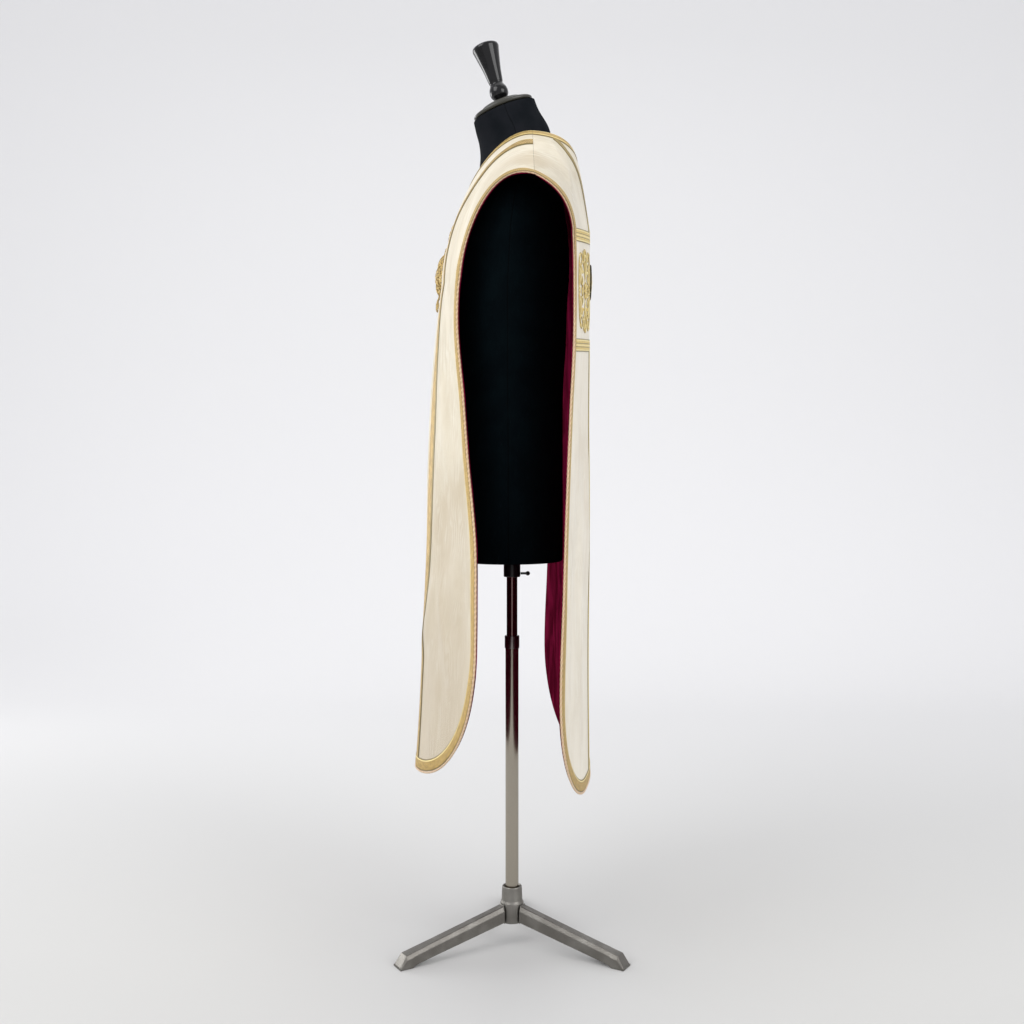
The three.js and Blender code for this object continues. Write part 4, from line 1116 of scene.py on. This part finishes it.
# ---------- Socket and thumb screw ----------
# A black moulded socket under the torso slips over the top of the pole. A ball-headed thumb screw
# behind it holds the form at its height and turn.
plastic = Paint("black plastic", base_color=(0.010, 0.010, 0.011), roughness=0.3)
socket = turned_body("socket_moulded", [
    (9.4, 615), (12.2, 615), (13.2, 615.3), (13.8, 616), (14, 617), (14, 640.6), (13.8, 641.6),
    (13.2, 642.3), (12.2, 642.6), (9.4, 642.6),
], sides=72)
fitted(socket, plastic, "form", "black_plastic", "form_socket")

BALL_RADIUS, BALL_MIDDLE = 3.75, 26.5
ball = np.radians(np.linspace(-58, 89, 26))
ball_profile = zip(BALL_RADIUS * np.cos(ball), BALL_MIDDLE + BALL_RADIUS * np.sin(ball))
screw_profile = [(0.2, 14.3), (2, 14.3), *ball_profile]
screw = turned_body("thumb_screw_turned", screw_profile, (0, 0, 0.621), lean=-90, sides=36)
fitted(screw, plastic, "thumb_screw", "black_plastic", "socket_thumb_screw")


# ---------- Pole ----------
# Two bright steel tubes that slide one in the other, with a pressed ferrule on top of the wider
# one that grips the narrower.
def steel(name, colour, roughness):
    """Polished tube with fine draw lines along it."""
    paint = Paint(name, base_color=colour, metallic=1.0)
    lines = paint.lumps(420, 3, detail=2)
    paint.set("Roughness", roughness + lines * 0.1)
    return paint


inner_tube = turned_body("inner_tube_drawn", [
    (0.2, 300), (8.8, 300), (9, 300.2), (9, 640.8), (8.8, 641), (0.2, 641),
])
inner_steel = steel("inner steel", (0.22, 0.145, 0.135), 0.10)
fitted(inner_tube, inner_steel, "mast", "inner_steel", "stand_inner_tube")

outer_tube = turned_body("outer_tube_drawn", [
    (9.5, 88.3), (10.7, 88.3), (11, 88.6), (11, 494.7), (10.7, 495), (9.5, 495), (9.5, 88.3),
])
outer_steel = steel("outer steel", (0.37, 0.335, 0.28), 0.18)
fitted(outer_tube, outer_steel, "stand", "outer_steel", "stand_outer_tube")

ferrule = turned_body("ferrule_pressed", [
    (9.4, 495.3), (11.3, 495.3), (12, 495.6), (12.3, 496.3), (12.3, 515.8), (12, 516.6),
    (11.3, 517), (9.4, 517), (9.4, 495.3),
])
ferrule_steel = steel("ferrule steel", (0.22, 0.20, 0.195), 0.22)
fitted(ferrule, ferrule_steel, "stand", "ferrule_steel", "stand_ferrule")


# ---------- Tripod ----------
# A hub and three legs of cast aluminium with a tumbled finish. The legs are bolted to the hub, and
# each is a ridge with a flat top that ends in a foot cut level with the floor.
cast = Paint("cast aluminium", metallic=1.0)
pits = cast.place.noise(420, detail=3)
stain = cast.place.noise(30, detail=2).between(0.35, 0.7)
cast.set("Base Color", stain.mixed((0.185, 0.175, 0.158), (0.245, 0.235, 0.215)))
cast.set("Roughness", 0.36 + pits * 0.14)
cast.bump(pits, 0.0004)

hub = turned_body("hub_cast", [
    (0.2, 38), (17.5, 38), (18.8, 38.4), (19.5, 39.5), (19.5, 69.5), (19.2, 70.8), (17.8, 73.2),
    (17.4, 74.5), (16.6, 95), (16.4, 96.2), (15.7, 97), (14.6, 97), (14.1, 96.4), (13.4, 92.5),
    (11.3, 91.5), (11.3, 88), (0.2, 88),
])
fitted(hub, cast, "stand", "cast_aluminium", "stand_hub")

# Rows in millimetres: distance from the axis, top, base, half width on top and half width below.
LEG = np.array([
    (20.1, 67, 40, 7, 10), (60, 56.5, 31, 7, 10), (150, 33, 11, 8, 11), (183, 24.5, 3.6, 9, 12),
    (188, 23.2, 0, 9, 12.5), (199, 20.4, 0, 9.5, 13), (210, 3, 0, 11, 13),
]) / 1000
out, top, base, half_top, half_base = LEG.T
edge = base + 0.7 * (top - base)
side = np.stack([-half_base, half_base, half_base, half_top, -half_top, -half_base], 1)
level = np.stack([base, base, edge, top, top, edge], 1)
for number, degrees in enumerate((60, 180, 300), 1):
    c, s = heading(degrees)
    leg_rings = np.stack([out[:, None] * c - side * s, out[:, None] * s + side * c, level], -1)
    leg = closed_rings(f"leg_cast_{number}", leg_rings)
    bevel = leg.modifiers.new("eased edges", "BEVEL")
    bevel.width, bevel.segments, bevel.limit_method, bevel.angle_limit = 0.0011, 3, "ANGLE", 0.3
    bevel.harden_normals = True
    fitted(leg, cast, "stand", "cast_aluminium", f"stand_leg_{number}")


# ---------- Floor, light and camera ----------
# A pale paper sweep that runs from the floor up behind, four broad soft lamps and a pale sky.
sweep_angle = np.linspace(0, np.pi / 2, 24)
sweep_x = np.r_[6.0, -2.2 - 1.6 * np.sin(sweep_angle), -3.8]
sweep_z = np.r_[0.0, 1.6 * (1 - np.cos(sweep_angle)), 9.0]
sweep_y = np.linspace(-7, 7, 3)
sweep_points = np.stack([np.repeat(sweep_x, 3), np.tile(sweep_y, len(sweep_x)), np.repeat(sweep_z, 3)], 1)
sweep_index = np.arange(len(sweep_points)).reshape(-1, 3)
sweep = body("paper_sweep", sweep_points, [grid_faces(sweep_index)[:, ::-1]])
paper = Paint("pale paper", roughness=0.9, specular_ior_level=0.1)
# Painted shade: the paper is painted darker on the floor in front than up the wall behind.
floor_shade = paper.place.part("X").between(-3.6, 0.6)
paper.set("Base Color", floor_shade.mixed((0.875, 0.875, 0.88), (0.60, 0.60, 0.59)))
paper.on(sweep)

for name, place, turn, width, watts, spread in (
        ("key_lamp", (2.4, -2.6, 3.0), (48, 0, 42), 2.6, 71, 180),
        ("fill_lamp", (2.6, 2.8, 2.2), (62, 0, 136), 2.4, 60, 180),
        ("top_lamp", (-0.6, 0.0, 3.6), (-8, 0, 90), 3.0, 20, 180),
        ("far_lamp", (-2.0, -3.4, 1.3), (84, 0, -32), 1.6, 17, 110)):
    lamp = bpy.data.lights.new(name, "AREA")
    lamp.shape, lamp.size, lamp.energy = "SQUARE", width, watts
    lamp.spread = np.radians(spread)
    lamp_object = bpy.data.objects.new(name, lamp)
    lamp_object.location, lamp_object.rotation_euler = place, np.radians(turn)
    bpy.context.scene.collection.objects.link(lamp_object)

sky = bpy.data.worlds.new("pale sky")
sky.use_nodes = True
sky.node_tree.nodes["Background"].inputs["Color"].default_value = (0.97, 0.97, 1.0, 1.0)
sky.node_tree.nodes["Background"].inputs["Strength"].default_value = 0.74
bpy.context.scene.world = sky
bpy.context.scene.view_settings.view_transform = "Standard"

camera = bpy.data.cameras.new("camera")
camera.sensor_width, camera.lens = 36, 39.13
camera_object = bpy.data.objects.new("camera", camera)
camera_object.location = (1.87, 0, 0.724)
camera_object.rotation_euler = np.radians((90, 0, 90))
bpy.context.scene.collection.objects.link(camera_object)
bpy.context.scene.camera = camera_object
